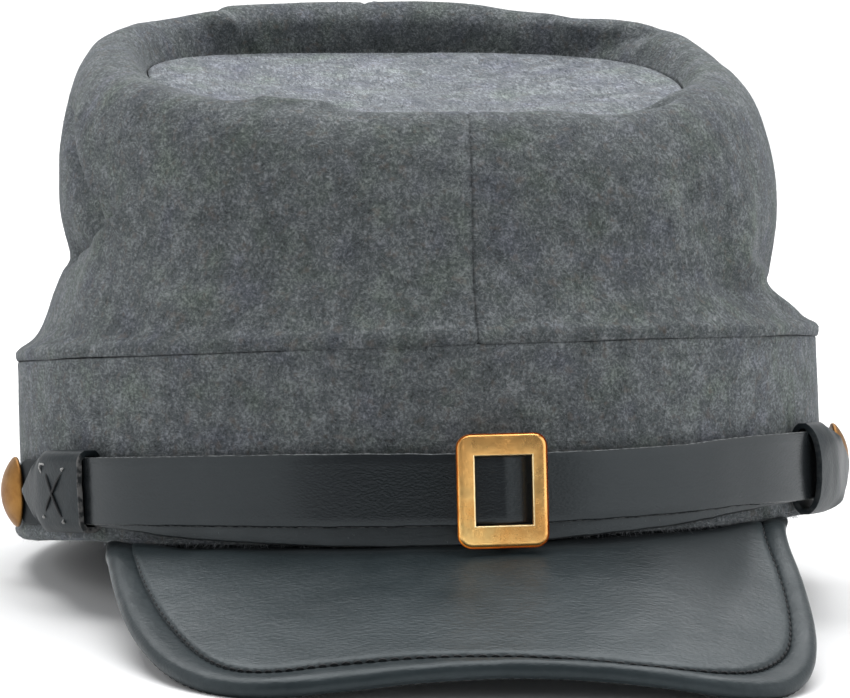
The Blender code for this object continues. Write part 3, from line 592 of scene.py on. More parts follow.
def push_out(mesh, amount):
    """Moves each vertex along its normal by amount(turn, row, place)."""
    mesh.normal_update()
    layer_u = mesh.verts.layers.float["turn"]
    layer_v = mesh.verts.layers.float["row"]
    moves = []
    for vert in mesh.verts:
        moves.append((vert, vert.normal * amount(vert[layer_u], vert[layer_v], vert.co)))
    for vert, move in moves:
        vert.co += move


def face_up(mesh):
    """Points all faces of an open sheet one way, upwards on the whole."""
    bmesh.ops.recalc_face_normals(mesh, faces=mesh.faces[:])
    if sum(face.normal.z for face in mesh.faces) < 0.0:
        bmesh.ops.reverse_faces(mesh, faces=mesh.faces[:])


THREAD_END_WIDTH = 0.45            # share of its width that a thread keeps at its ends


def thread(mesh, points, radius, sides):
    """Adds a round thread along points, narrowed at both ends."""
    last = len(points) - 1
    ways = []
    for index in range(last + 1):
        way = points[min(last, index + 1)] - points[max(0, index - 1)]
        ways.append(way.normalized())
    side = ways[0].orthogonal().normalized()
    frames = []
    for way in ways:
        side = (side - way * side.dot(way)).normalized()
        frames.append((side.copy(), way.cross(side)))

    def place(u, v):
        index = round(u)
        first, second = frames[index]
        width = radius * (THREAD_END_WIDTH if index in (0, last) else 1.0)
        return points[index] + (first * cos(v) + second * sin(v)) * width

    made = bend_grid(
        mesh, list(range(len(points))), spread(sides, 0.0, 2.0 * pi), place, closed_v=True
    )
    kept = [vert for vert in made if vert.is_valid]
    edges = {edge for vert in kept for edge in vert.link_edges if edge.is_boundary}
    bmesh.ops.holes_fill(mesh, edges=list(edges), sides=0)


def rounded_strip(half_width, half_thickness, corner, flat_steps, corner_steps):
    """The outline of a strip's cross-section as (out, height), closed on itself."""
    corners = (
        (half_thickness, half_width, 0.0),
        (-half_thickness, half_width, 90.0),
        (-half_thickness, -half_width, 180.0),
        (half_thickness, -half_width, 270.0),
    )
    outline = []
    for out, height, start in corners:
        centre_out = out - corner * (1.0 if out > 0.0 else -1.0)
        centre_height = height - corner * (1.0 if height > 0.0 else -1.0)
        for step in range(corner_steps + 1):
            turn = radians(start + 90.0 * step / corner_steps)
            outline.append((centre_out + corner * cos(turn), centre_height + corner * sin(turn)))
    full = []
    for index, (out, height) in enumerate(outline):
        next_out, next_height = outline[(index + 1) % len(outline)]
        full.append((out, height))
        if abs(next_height - height) > half_width:
            for share in spread(flat_steps)[1:-1]:
                full.append((blend(out, next_out, share), blend(height, next_height, share)))
    full.append(full[0])
    return full


def new_object(name, data):
    """An object of the scene that holds the data."""
    made = bpy.data.objects.new(name, data)
    bpy.context.scene.collection.objects.link(made)
    return made


def finished(name, mesh):
    """The mesh data that a bmesh has become."""
    data = bpy.data.meshes.new(name)
    mesh.to_mesh(data)
    mesh.free()
    return data


def add_piece(name, mesh, material, replaced=(), sharp_angle=None, wall=None, offset=-1.0):
    """Tips the mesh into the rest pose and makes it a piece of the cap."""
    bmesh.ops.transform(mesh, matrix=REST, verts=mesh.verts[:])
    data = finished(name, mesh)
    data.shade_smooth()
    if sharp_angle is not None:
        data.set_sharp_from_angle(angle=radians(sharp_angle))
    data.materials.append(material)
    piece = new_object(name, data)
    if wall is not None:
        shell = piece.modifiers.new("Wall", "SOLIDIFY")
        shell.thickness = wall
        shell.offset = offset
    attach(piece, "root")
    if replaced:
        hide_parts(*replaced)
    return piece


# --------------------------------------------------------------------------- materials


class Nodes:
    """Shorthand for building a node tree."""

    def __init__(self, tree):
        self.tree = tree

    def link(self, source, target):
        self.tree.links.new(source, target)

    def add(self, kind, inputs=(), **settings):
        """Adds a node; each input is a value, or another node's output to link from."""
        node = self.tree.nodes.new(kind)
        for name, value in settings.items():
            setattr(node, name, value)
        for socket, value in dict(inputs).items():
            if isinstance(value, bpy.types.NodeSocket):
                self.link(value, node.inputs[socket])
            else:
                node.inputs[socket].default_value = value
        return node

    def place(self):
        return self.add("ShaderNodeTexCoord").outputs["Object"]

    def attribute(self, title):
        return self.add("ShaderNodeAttribute", attribute_name=title).outputs["Fac"]

    def math(self, operation, first, second=0.0):
        return self.add("ShaderNodeMath", {0: first, 1: second}, operation=operation).outputs[0]

    def total(self, *terms):
        """The sum of pairs of a value and its weight."""
        weighted = [self.math("MULTIPLY", value, weight) for value, weight in terms]
        result = weighted[0]
        for term in weighted[1:]:
            result = self.math("ADD", result, term)
        return result

    def vector(self, operation, first, second):
        node = self.add("ShaderNodeVectorMath", {0: first, 1: second}, operation=operation)
        return node.outputs[0]

    def noise(self, place, scale, detail=2.0, roughness=0.5):
        node = self.add("ShaderNodeTexNoise", {
            "Vector": place, "Scale": scale, "Detail": detail, "Roughness": roughness,
        })
        return node.outputs["Fac"]

    def warped(self, place, scale, detail, amount):
        """A place shifted about by soft noise, so that what is drawn on it isn't straight."""
        shift = self.add("ShaderNodeTexNoise", {"Vector": place, "Scale": scale, "Detail": detail})
        shift = self.vector("MULTIPLY", shift.outputs["Color"], (amount, amount, amount))
        return self.vector("ADD", place, shift)

    def stretched(self, place, turn, stretch):
        return self.add("ShaderNodeMapping", {
            "Vector": place, "Rotation": [radians(angle) for angle in turn], "Scale": stretch,
        }).outputs["Vector"]

    def mix(self, share, first, second, blend_type="MIX"):
        """Mixes two colours, given as outputs or as three numbers."""
        first, second = [
            colour if isinstance(colour, bpy.types.NodeSocket) else (*colour, 1.0)
            for colour in (first, second)
        ]
        return self.add(
            "ShaderNodeMix", {0: share, 6: first, 7: second}, data_type="RGBA", blend_type=blend_type
        ).outputs[2]

    def span(self, value, low, high, to_low=0.0, to_high=1.0):
        return self.add("ShaderNodeMapRange", {
            "Value": value, "From Min": low, "From Max": high,
            "To Min": to_low, "To Max": to_high,
        }).outputs["Result"]


COLOUR = "NodeSocketColor"
FLOAT = "NodeSocketFloat"


def new_group(name, inputs, outputs):
    """A shader node group, with the kind and the name of each input and output."""
    group = bpy.data.node_groups.new(name, "ShaderNodeTree")
    for way, sockets in (("INPUT", inputs), ("OUTPUT", outputs)):
        for kind, title in sockets:
            group.interface.new_socket(name=title, in_out=way, socket_type=kind)
    nodes = Nodes(group)
    entry, leave = nodes.add("NodeGroupInput"), nodes.add("NodeGroupOutput")
    return group, nodes, entry.outputs, leave.inputs


# How the strands of the wool lie, in degrees about each axis, and how many to the metre.
LIGHT_STRANDS = (((0.0, 35.0, 20.0), 2400.0), ((60.0, -25.0, 75.0), 2100.0))
DARK_STRANDS = (((-50.0, 10.0, -40.0), 2600.0), ((20.0, 80.0, 120.0), 1900.0))
STRAND_STRETCH = (1.0, 0.16, 1.0)
GREEN_TINT = (0.93, 1.0, 0.86)
VIOLET_TINT = (0.96, 0.94, 1.06)
BROWN_SPECKS = (0.120, 0.095, 0.078)


def wool_group():
    """Milled wool: crossing fibres in light and dark greys over soft blotches."""
    group, nodes, given, out = new_group(
        "milled_wool",
        [(COLOUR, "Dark"), (COLOUR, "Middle"), (COLOUR, "Light"), (FLOAT, "Drawn Out")],
        [(COLOUR, "Color"), (FLOAT, "Height")],
    )
    drawn = nodes.add("ShaderNodeCombineXYZ", {0: 1.0, 1: given["Drawn Out"], 2: 1.0}).outputs[0]
    place = nodes.vector("MULTIPLY", nodes.place(), drawn)
    bent = nodes.warped(place, 260.0, 1.0, 0.0022)

    def strands(lies, operation):
        first, second = [
            nodes.noise(nodes.stretched(bent, turn, STRAND_STRETCH), scale, 1.0, 0.4)
            for turn, scale in lies
        ]
        return nodes.math(operation, first, second)

    light, dark = strands(LIGHT_STRANDS, "MAXIMUM"), strands(DARK_STRANDS, "MINIMUM")
    fibres = nodes.total((light, 0.5), (dark, 0.5))
    speckle = nodes.noise(place, 1150.0, roughness=0.6)
    blotch = nodes.noise(place, 230.0, roughness=0.55)
    cloud = nodes.noise(place, 48.0)
    tone = nodes.total((fibres, 0.46), (speckle, 0.26), (blotch, 0.20), (cloud, 0.08))
    colour = nodes.mix(nodes.span(tone, 0.36, 0.50), given["Dark"], given["Middle"])
    colour = nodes.mix(nodes.span(tone, 0.50, 0.64), colour, given["Light"])
    tint = nodes.noise(place, 95.0, roughness=0.6)
    green = nodes.span(tint, 0.52, 0.72, 0.0, 0.85)
    violet = nodes.span(tint, 0.28, 0.46, 0.85, 0.0)
    brown = nodes.span(nodes.noise(place, 520.0, 1.0), 0.60, 0.74, 0.0, 0.35)
    colour = nodes.mix(green, colour, GREEN_TINT, "MULTIPLY")
    colour = nodes.mix(violet, colour, VIOLET_TINT, "MULTIPLY")
    nodes.link(nodes.mix(brown, colour, BROWN_SPECKS), out["Color"])
    nodes.link(nodes.total((fibres, 0.6), (speckle, 0.4)), out["Height"])
    return group


def leather_group():
    """Fine grained leather: small pebbles, pores and a few faint long creases."""
    group, nodes, given, out = new_group(
        "fine_leather",
        [(COLOUR, "Deep"), (COLOUR, "Worn"), (FLOAT, "Grain Scale"), (FLOAT, "Crease Share")],
        [(COLOUR, "Color"), (FLOAT, "Height"), (FLOAT, "Roughness")],
    )
    place = nodes.place()
    bent = nodes.warped(place, 420.0, 2.0, 0.0010)
    pebbles = nodes.add("ShaderNodeTexVoronoi", {
        "Vector": nodes.stretched(bent, (0.0, 25.0, 30.0), (0.62, 1.0, 1.0)),
        "Scale": given["Grain Scale"],
    }, feature="SMOOTH_F1").outputs["Distance"]
    pores = nodes.noise(place, 3400.0)
    crease = nodes.noise(nodes.stretched(bent, (0.0, 0.0, 8.0), (0.22, 1.0, 1.0)), 330.0, 3.0, 0.6)
    crease = nodes.math("ABSOLUTE", nodes.math("SUBTRACT", crease, 0.5))
    crease = nodes.span(crease, 0.0, 0.06)
    swell = nodes.noise(bent, 240.0)
    height = nodes.total((pores, 0.3), (pebbles, -0.8), (crease, given["Crease Share"]), (swell, 0.8))
    nodes.link(height, out["Height"])
    wear = nodes.total((nodes.noise(place, 38.0, 4.0, 0.6), 0.7), (nodes.noise(place, 700.0), 0.3))
    nodes.link(nodes.mix(nodes.span(wear, 0.38, 0.66), given["Deep"], given["Worn"]), out["Color"])
    nodes.link(nodes.span(nodes.noise(place, 160.0, 3.0), 0.3, 0.7, 0.36, 0.46), out["Roughness"])
    return group


PIT_BROWN = (0.22, 0.11, 0.04)


def brass_group():
    """Handled brass: warm blotches of tarnish, scratches and small pits."""
    group, nodes, given, out = new_group(
        "handled_brass",
        [(COLOUR, "Bright"), (COLOUR, "Coppery"), (FLOAT, "Smooth"), (FLOAT, "Dull")],
        [(COLOUR, "Color"), (FLOAT, "Height"), (FLOAT, "Roughness")],
    )
    place = nodes.place()
    patch = nodes.noise(place, 130.0, 4.0, 0.65)
    colour = nodes.mix(nodes.span(patch, 0.38, 0.64), given["Bright"], given["Coppery"])
    scratch = nodes.noise(nodes.stretched(place, (0.0, 38.0, 0.0), (1.0, 1.0, 0.04)), 5200.0, 1.0)
    cross = nodes.noise(nodes.stretched(place, (0.0, -52.0, 0.0), (1.0, 1.0, 0.05)), 4300.0, 1.0)
    scratch = nodes.span(nodes.math("MAXIMUM", scratch, cross), 0.68, 0.78)
    pits = nodes.span(nodes.noise(place, 2300.0, 3.0, 0.7), 0.56, 0.66)
    pits = nodes.math("MULTIPLY", pits, nodes.span(patch, 0.46, 0.60))
    dent = nodes.noise(place, 420.0)
    nodes.link(nodes.total((scratch, -0.2), (pits, -1.0), (dent, 1.6)), out["Height"])
    nodes.link(nodes.mix(nodes.math("MULTIPLY", pits, 0.55), colour, PIT_BROWN), out["Color"])
    rough = nodes.span(patch, 0.3, 0.7, given["Smooth"], given["Dull"])
    rough = nodes.math("ADD", rough, nodes.math("MULTIPLY", scratch, 0.12))
    nodes.link(rough, out["Roughness"])
    return group


def new_material(name, **shader_values):
    material = bpy.data.materials.new(name)
    material.use_nodes = True
    shader = material.node_tree.nodes["Principled BSDF"]
    for socket, value in shader_values.items():
        shader.inputs[socket.replace("_", " ")].default_value = value
    return material, Nodes(material.node_tree), shader.inputs


def use_group(nodes, group, inputs):
    """A group in a material, its inputs set to numbers and to colours of three numbers."""
    values = {
        title: value if isinstance(value, float) else (*value, 1.0)
        for title, value in inputs.items()
    }
    return nodes.add("ShaderNodeGroup", values, node_tree=group).outputs


def bump(nodes, shader, height, strength, distance):
    inputs = {"Height": height, "Strength": strength, "Distance": distance}
    nodes.link(nodes.add("ShaderNodeBump", inputs).outputs["Normal"], shader["Normal"])


SEAM_SHADE = (0.012, 0.013, 0.014)
# painted shade for leather: its stitched seams, the visor's right side and root, the binding's ends,
# the inner strap past the keepers
PAINTED_SHADE_COLOUR = (0.003, 0.004, 0.005)
LEATHER_SHEEN = (0.86, 0.955, 1.0, 1.0)      # the cool tint of the leather's reflections
# coppery painted shade for the buckle's top and right side
SIDE_SHADE_COLOUR = (0.72, 0.37, 0.115)
# paler yellow brass on the window's chamfer
PALE_CHAMFER_BRASS = (1.0, 0.86, 0.52)


def wool_material(name, group, dark, middle, light, seam=False, drawn_out=1.0):
    material, nodes, shader = new_material(
        name, Roughness=0.95, Specular_IOR_Level=0.15,
        Sheen_Weight=0.10, Sheen_Roughness=0.5, Sheen_Tint=(0.72, 0.76, 0.80, 1.0),
    )
    cloth = use_group(nodes, group, {
        "Dark": dark, "Middle": middle, "Light": light, "Drawn Out": drawn_out,
    })
    colour = cloth["Color"]
    # painted shade in the front seam's groove
    if seam:
        broken = nodes.span(nodes.noise(nodes.place(), 700.0), 0.35, 0.6, 0.2, 0.75)
        line = nodes.math("MULTIPLY", nodes.attribute("painted_seam_shade"), broken)
        colour = nodes.mix(line, colour, SEAM_SHADE)
    nodes.link(colour, shader["Base Color"])
    bump(nodes, shader, cloth["Height"], 0.55, 0.0006)
    return material


def fibre_material(name, dark, light):
    material, nodes, shader = new_material(name, Roughness=0.9, Specular_IOR_Level=0.2)
    nodes.link(nodes.mix(nodes.attribute("fibre_tone"), dark, light), shader["Base Color"])
    return material


def leather_material(
    name, group, deep, worn, grain, crease, strength, raw_edge=None, has_painted_shade=False, **shader_values
):
    """Leather, pale where its cut edge is raw, and darkened and dulled by painted shade along its
    stitches and in other shaded places.
    """
    material, nodes, shader = new_material(name, Specular_Tint=LEATHER_SHEEN, **shader_values)
    hide = use_group(nodes, group, {
        "Deep": deep, "Worn": worn, "Grain Scale": grain, "Crease Share": crease,
    })
    colour = hide["Color"]
    if raw_edge is not None:
        speck = nodes.span(nodes.noise(nodes.place(), 900.0, 3.0), 0.42, 0.60, 0.15, 1.0)
        edge = nodes.math("MULTIPLY", nodes.attribute("raw_edge"), speck)
        colour = nodes.mix(edge, colour, raw_edge)
    # painted shade: the mask darkens the colour and dulls the leather's reflections
    if has_painted_shade:
        line = nodes.attribute("painted_shade_mask")
        colour = nodes.mix(line, colour, PAINTED_SHADE_COLOUR)
        nodes.link(nodes.math("MAXIMUM", hide["Roughness"], line), shader["Roughness"])
    elif "Roughness" not in shader_values:
        nodes.link(hide["Roughness"], shader["Roughness"])
    nodes.link(colour, shader["Base Color"])
    bump(nodes, shader, hide["Height"], strength, 0.0003)
    return material


def brass_material(name, group, bright, coppery, smooth, dull):
    material, nodes, shader = new_material(name, Metallic=1.0)
    metal = use_group(nodes, group, {
        "Bright": bright, "Coppery": coppery, "Smooth": smooth, "Dull": dull,
    })
    # painted shade on the buckle where its mask asks
    colour = nodes.mix(nodes.attribute("painted_side_shade"), metal["Color"], SIDE_SHADE_COLOUR)
    colour = nodes.mix(nodes.attribute("pale_chamfer"), colour, PALE_CHAMFER_BRASS)
    nodes.link(colour, shader["Base Color"])
    nodes.link(metal["Roughness"], shader["Roughness"])
    bump(nodes, shader, metal["Height"], 0.5, 0.00012)
    return material


THREAD_SHADE = 0.45                # share of a thread's colour that is left between its strands


def thread_material(name, colour):
    material, nodes, shader = new_material(name, Roughness=0.7)
    strand = nodes.noise(nodes.place(), 3200.0)
    darker = tuple(channel * THREAD_SHADE for channel in colour)
    nodes.link(nodes.mix(nodes.span(strand, 0.35, 0.65), darker, colour), shader["Base Color"])
    bump(nodes, shader, strand, 0.4, 0.0002)
    return material


# ------------------------------------------------------------------------- wool pieces


def seam_offset(angle):
    """Signed distance round the crown from the nearest upright seam."""
    return min((wrapped(angle - radians(seam)) * MEAN_RADIUS for seam in SEAM_ANGLES), key=abs)


def crown_angles():
    """Columns round the crown, closer together at its two upright seams."""
    clear = SEAM_OFFSETS[-1] * 1.1
    angles = [turn for turn in spread(CROWN_COLUMN_COUNT, -pi, pi) if abs(seam_offset(turn)) > clear]
    for offset in SEAM_OFFSETS:
        turn = offset / MEAN_RADIUS
        angles += [turn, -turn, pi - turn, -pi + turn]
    angles += [0.0, pi, -pi]
    return sorted(angles)


def leaned(angle, row):
    """The angle at a row of a column that follows the wandering front seam."""
    climb = smooth_step(row / LAST_ROW)
    return angle + radians(SEAM_LEAN) * climb * bell(angle / SEAM_LEAN_REACH)


def crown_place(column, row):
    """A point of the crown, from its turned-in hem up to its tuck behind the tip."""
    angle = leaned(column, row)
    if row < 0.0:
        turn = -row * pi / 2.0
        point = crown_point(angle, 0.0, HEM_INSET * (1.0 - cos(turn)))
        return point - Vector((0.0, 0.0, HEM_DEPTH * sin(turn)))
    if row > LAST_ROW:
        under = row - LAST_ROW
        point = crown_point(angle, float(LAST_ROW), -TIP_TUCK_SPREAD * under)
        return point - Vector((0.0, 0.0, TIP_TUCK * under))
    return crown_point(angle, row)


def crown_detail(column, row, point):
    """How far the cloth stands off the plain crown: waves, seams, wrinkles, creases, hem."""
    offset = seam_offset(column)
    angle = leaned(column, row)
    out = waves(point)
    pulled = SEAM_PULL + SEAM_PULL_CHANGE * noise.noise(point * SEAM_PULL_RATE)
    out -= SEAM_DEPTH * bell(offset / SEAM_HALF_WIDTH) * pulled
    out -= SEAM_VALLEY * bell(offset / SEAM_VALLEY_HALF_WIDTH)
    out += SEAM_WELT * bell((offset - SEAM_WELT_PLACE) / SEAM_WELT_HALF_WIDTH)
    position = max(0.0, min(float(LAST_ROW), row))
    calm = smooth_step(position / FOLD_FREE_ROWS)
    calm *= smooth_step((LAST_ROW - position) / WRINKLE_FREE_ROWS)
    out += swell_of(angle, position, WRINKLES) * calm
    out -= crease_drop(angle, position)
    return out + HEM_PUFF * bell((position - HEM_PUFF_ROW) / HEM_PUFF_ROWS)


def make_crown(material):
    """The wool wall, with painted shade down the groove of its front seam."""
    mesh = bmesh.new()
    rows = [-1.0, -0.66, -0.33] + spread(CROWN_ROW_COUNT, 0.0, float(LAST_ROW))
    rows += [LAST_ROW + 0.5, LAST_ROW + 1.0]
    bend_grid(mesh, crown_angles(), rows, crown_place, closed_u=True)
    push_out(mesh, crown_detail)

    def painted_seam_shade(turn, _row):
        return smooth_step(2.0 * cos(turn)) * bell(seam_offset(turn) / SEAM_LINE_HALF_WIDTH)

    mark(mesh, "painted_seam_shade", painted_seam_shade)
    crown = add_piece("crown_cloth", mesh, material, ["crown_side"], wall=CROWN_WALL)
    return crown


def tip_plane(x, y):
    """Height of the flat that the sunken top lies in."""
    seam = crown_row_values(float(LAST_ROW))
    slope_x = (seam["z_right"] - seam["z_left"]) / (seam["right"] + seam["left"])
    slope_y = (seam["z_back"] - seam["z_front"]) / (seam["back"] + seam["front"])
    return seam["z_front"] + slope_y * (y + seam["front"]) + slope_x * x


TIP_COLUMN_COUNT = 220
TIP_SHARES = [0.0, 0.006, 0.012, 0.02, 0.03, 0.045, 0.065, 0.09, 0.12] + spread(34, 0.15, 0.985)
TIP_FLAT_FROM = 0.66               # share of the way in from the rim at which the top is flat
TIP_CALM_SHARE = 0.08              # share over which its waves begin
TIP_TURN_DOWN = 0.0004
TIP_TURN_DOWN_SHARE = 0.010


def make_tip(material):
    """The sunken top, a little crumpled, its rim turned down into the seam."""
    angles = spread(TIP_COLUMN_COUNT, -pi, pi)
    rim = {angle: crown_point(angle, float(LAST_ROW), GAP) for angle in angles}
    centre = sum(rim.values(), Vector()) / len(rim)

    def place(angle, share):
        x, y, z = rim[angle].lerp(centre, share)
        flat = smooth_step(share / TIP_FLAT_FROM)
        z = blend(z, tip_plane(x, y), flat) - TIP_DISH * flat
        return Vector((x, y, z - TIP_TURN_DOWN * bell(share / TIP_TURN_DOWN_SHARE)))

    def crumple(_angle, share, point):
        return waves(point, TIP_WAVES) * smooth_step(share / TIP_CALM_SHARE)

    mesh = bmesh.new()
    bend_grid(mesh, angles, TIP_SHARES, place, closed_u=True)
    row = mesh.verts.layers.float["row"]
    open_edges = [edge for edge in mesh.edges if edge.is_boundary]
    hole = [edge for edge in open_edges if min(vert[row] for vert in edge.verts) > 0.9]
    bmesh.ops.contextual_create(mesh, geom=hole)
    push_out(mesh, crumple)
    tip = add_piece("tip_cloth", mesh, material, ["crown_tip"], wall=TIP_WALL)
    return tip


BAND_COLUMN_COUNT = 300
BAND_CORNER = 0.0007
BAND_SINK = 0.0001
# The band's lower edge stands out a little, and runs higher, about the left button.
BAND_LIP = 0.0016
BAND_LIP_TOP = 0.0330
BAND_LIP_HEIGHT = 0.0035
BAND_LIP_TURN = -1.5               # radians
BAND_LIP_BREADTH = 0.4             # radians
BAND_RISE = 0.0010
BAND_RISE_FRONT = (-48.0, -62.0)   # degrees over which the rise begins in front
BAND_RISE_BACK = (-150.0, -120.0)
BAND_RISE_HEIGHTS = (-0.010, -0.019)   # below the band's middle


def make_band(material):
    """The doubled cloth hoop, rounded over at its upper and lower edges."""
    section = rounded_strip(BAND_HEIGHT / 2.0, BAND_WALL / 2.0, BAND_CORNER, 26, 4)

    def place(angle, index):
        out, height = section[round(index)]
        turn = degrees(angle)
        rise = BAND_RISE * fade(turn, *BAND_RISE_FRONT) * fade(turn, *BAND_RISE_BACK)
        rise *= fade(height, *BAND_RISE_HEIGHTS)
        return band_point(angle, out - BAND_WALL / 2.0, -BAND_HEIGHT / 2.0 + height + rise)

    def unevenness(angle, _index, point):
        lip = smooth_step((-point.z - BAND_LIP_TOP) / BAND_LIP_HEIGHT) if angle < 0.0 else 0.0
        lip *= BAND_LIP * bell((angle - BAND_LIP_TURN) / BAND_LIP_BREADTH)
        return waves(point, BAND_WAVES) - BAND_SINK + lip

    mesh = bmesh.new()
    angles = spread(BAND_COLUMN_COUNT, -pi, pi)
    bend_grid(mesh, angles, list(range(len(section))), place, closed_u=True, closed_v=True)
    push_out(mesh, unevenness)
    band = add_piece("band_cloth", mesh, material, ["band"])
    return band


# --------------------------------------------------------------------------------- nap


FIBRE_WIDTH = 0.000055
FIBRE_TIP = 0.4                    # share of its width a fibre keeps at its tip
FIBRE_BEND = -0.06                 # how far its tip bends back down, as a share of its length
LENGTH_POWER = 3.0                 # most fibres are short


def fibre_template():
    """One wool fibre, a narrow bent ribbon, one unit long and as wide as it will be."""
    mesh = bmesh.new()
    bmesh.ops.create_grid(mesh, x_segments=1, y_segments=2, size=0.5)
    for vert in mesh.verts:
        along = vert.co.y + 0.5
        width = FIBRE_WIDTH * blend(1.0, FIBRE_TIP, along)
        vert.co = Vector((vert.co.x * width, FIBRE_BEND * along * along, along))
    return new_object("fibre_template", finished("fibre_template", mesh))


def nap_nodes(template, density, lengths, lean, seed):
    """Geometry nodes that stand fibres on a surface, leaning every way."""
    group = bpy.data.node_groups.new("nap", "GeometryNodeTree")
    for title, way in (("Ground", "INPUT"), ("Fibres", "OUTPUT")):
        group.interface.new_socket(name=title, in_out=way, socket_type="NodeSocketGeometry")
    nodes = Nodes(group)
    entry, leave = nodes.add("NodeGroupInput"), nodes.add("NodeGroupOutput")
    scatter = nodes.add("GeometryNodeDistributePointsOnFaces", {
        "Mesh": entry.outputs[0], "Density": density, "Seed": seed,
    }, distribute_method="RANDOM")
    fibre = nodes.add("GeometryNodeObjectInfo", {"Object": template})

    def random_value(low, high, offset):
        return nodes.add(
            "FunctionNodeRandomValue", {2: low, 3: high, "Seed": seed + offset}, data_type="FLOAT"
        ).outputs[1]

    def turned(rotation, axis, angle):
        turn = nodes.add("ShaderNodeCombineXYZ", {axis: angle}).outputs[0]
        turn = nodes.add("FunctionNodeEulerToRotation", {0: turn}).outputs[0]
        return nodes.add("FunctionNodeRotateRotation", {
            "Rotation": rotation, "Rotate By": turn,
        }, rotation_space="LOCAL").outputs[0]

    way = turned(scatter.outputs["Rotation"], 2, random_value(0.0, 2.0 * pi, 1))
    way = turned(way, 0, random_value(*lean, 2))
    length = nodes.math("POWER", random_value(0.0, 1.0, 3), LENGTH_POWER)
    length = nodes.span(length, 0.0, 1.0, *lengths)
    planted = nodes.add("GeometryNodeInstanceOnPoints", {
        "Points": scatter.outputs["Points"], "Instance": fibre.outputs["Geometry"],
        "Rotation": way,
        "Scale": nodes.add("ShaderNodeCombineXYZ", {0: 1.0, 1: length, 2: length}).outputs[0],
    })
    toned = nodes.add("GeometryNodeStoreNamedAttribute", {
        "Geometry": planted.outputs[0], "Name": "fibre_tone", "Value": random_value(0.0, 1.0, 4),
    }, data_type="FLOAT", domain="INSTANCE")
    real = nodes.add("GeometryNodeRealizeInstances", {"Geometry": toned.outputs[0]})
    nodes.link(real.outputs[0], leave.inputs[0])
    return group


def grow_nap(name, surface, template, material, slot, density, lengths, lean, seed):
    """Short fibres all over a surface of cloth, as a piece of their own."""
    carrier = new_object("nap_carrier", surface)
    grower = carrier.modifiers.new("Nap", "NODES")
    grower.node_group = nap_nodes(template, density, lengths, lean, seed)
    graph = bpy.context.evaluated_depsgraph_get()
    data = bpy.data.meshes.new_from_object(carrier.evaluated_get(graph))
    data.name = name
    bpy.data.objects.remove(carrier)
    data.materials.clear()
    data.materials.append(material)
    data.shade_smooth()
    nap = new_object(name, data)
    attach(nap, "root")


HEM_REACH = 0.98                   # radians either way over which the lower edge is frayed
HEM_HEIGHT = 0.0015
HEM_ROUNDING = 0.0009


def lower_edge_surface():
    """The lower edge of the band's outer face, for loose fibres to grow on."""
    mesh = bmesh.new()

    def place(angle, share):
        out = -HEM_ROUNDING * (1.0 - share) ** 2
        return band_point(angle, out, -BAND_HEIGHT + HEM_HEIGHT * share)

    bend_grid(mesh, spread(160, -HEM_REACH, HEM_REACH), spread(3), place)
    bmesh.ops.transform(mesh, matrix=REST, verts=mesh.verts[:])
    return finished("lower_edge", mesh)


def make_wool_pieces():
    """Band, crown and tip, each under its nap, and the frayed lower edge of the band."""
    wool = wool_group()
    crown_wool = wool_material(
        "crown_wool", wool, dark=(0.0227, 0.0267, 0.0288), middle=(0.080, 0.0895, 0.0925),
        light=(0.216, 0.229, 0.236), seam=True,
    )
    # painted light: the tip's wool is paler than the crown's for the top light that falls on it
    tip_wool_painted_lighter = wool_material(
        "tip_wool_painted_lighter", wool, dark=(0.038, 0.043, 0.050), middle=(0.135, 0.148, 0.162),
        light=(0.37, 0.39, 0.415), drawn_out=0.5,
    )
    band_wool = wool_material(
        "band_wool", wool, dark=(0.0255, 0.0295, 0.0315), middle=(0.092, 0.102, 0.106),
        light=(0.237, 0.252, 0.261),
    )
    crown_fibre = fibre_material("crown_fibre", (0.033, 0.037, 0.039), (0.235, 0.25, 0.26))
    # painted light: paler fibres for the lit tip and for the band's lit lower edge
    painted_light_fibre = fibre_material("painted_light_fibre", (0.035, 0.040, 0.045), (0.37, 0.39, 0.41))
    band_fibre = fibre_material("band_fibre", (0.033, 0.037, 0.039), (0.25, 0.263, 0.273))

    band = make_band(band_wool).data
    crown = make_crown(crown_wool).data
    tip = make_tip(tip_wool_painted_lighter).data
    template = fibre_template()
    # Growth: fibres to the square metre, shortest and longest, least and most lean, seed.
    for name, surface, fibre, slot, *growth in (
        ("crown_nap", crown, crown_fibre, "grey_wool", 7.6e5, (0.0006, 0.0024), (1.15, 1.5), 11),
        ("tip_nap", tip, painted_light_fibre, "grey_wool_tip", 1.6e6, (0.0006, 0.0026), (0.95, 1.45), 23),
        ("band_nap", band, band_fibre, "grey_wool_band", 8.5e5, (0.0006, 0.0024), (1.15, 1.5), 37),
        ("lower_edge_nap", lower_edge_surface(), painted_light_fibre, "grey_wool_band",
         9.0e6, (0.0006, 0.0032), (0.3, 1.4), 51),
    ):
        grow_nap(name, surface, template, fibre, slot, *growth)
    bpy.data.objects.remove(template)


# ----------------------------------------------------------------------- leather pieces


VISOR_RIGHT_PAINTED_SHADE = 0.64              # painted shade that darkens and dulls the visor's right side
VISOR_RIGHT_SHADE_FROM = (0.50, 0.84)     # shares of the way round its edge over which that begins
VISOR_RIGHT_SHADE_ROWS = (0.11, 0.51)
ROOT_PAINTED_SHADE = 0.94               # painted shadow: dark and dull near the band, which shades the leather there
ROOT_SHADE_ROWS = (0.77, 0.92)
VISOR_FACE_RISE = 0.0006           # the visor's face swells up level with its binding
VISOR_EDGE_SINK = 0.0004           # and is pulled down by the stitches at the binding's edge
VISOR_EDGE_REACH = 0.0009
VISOR_CALM_REACH = 0.004           # how far from the binding its face is even

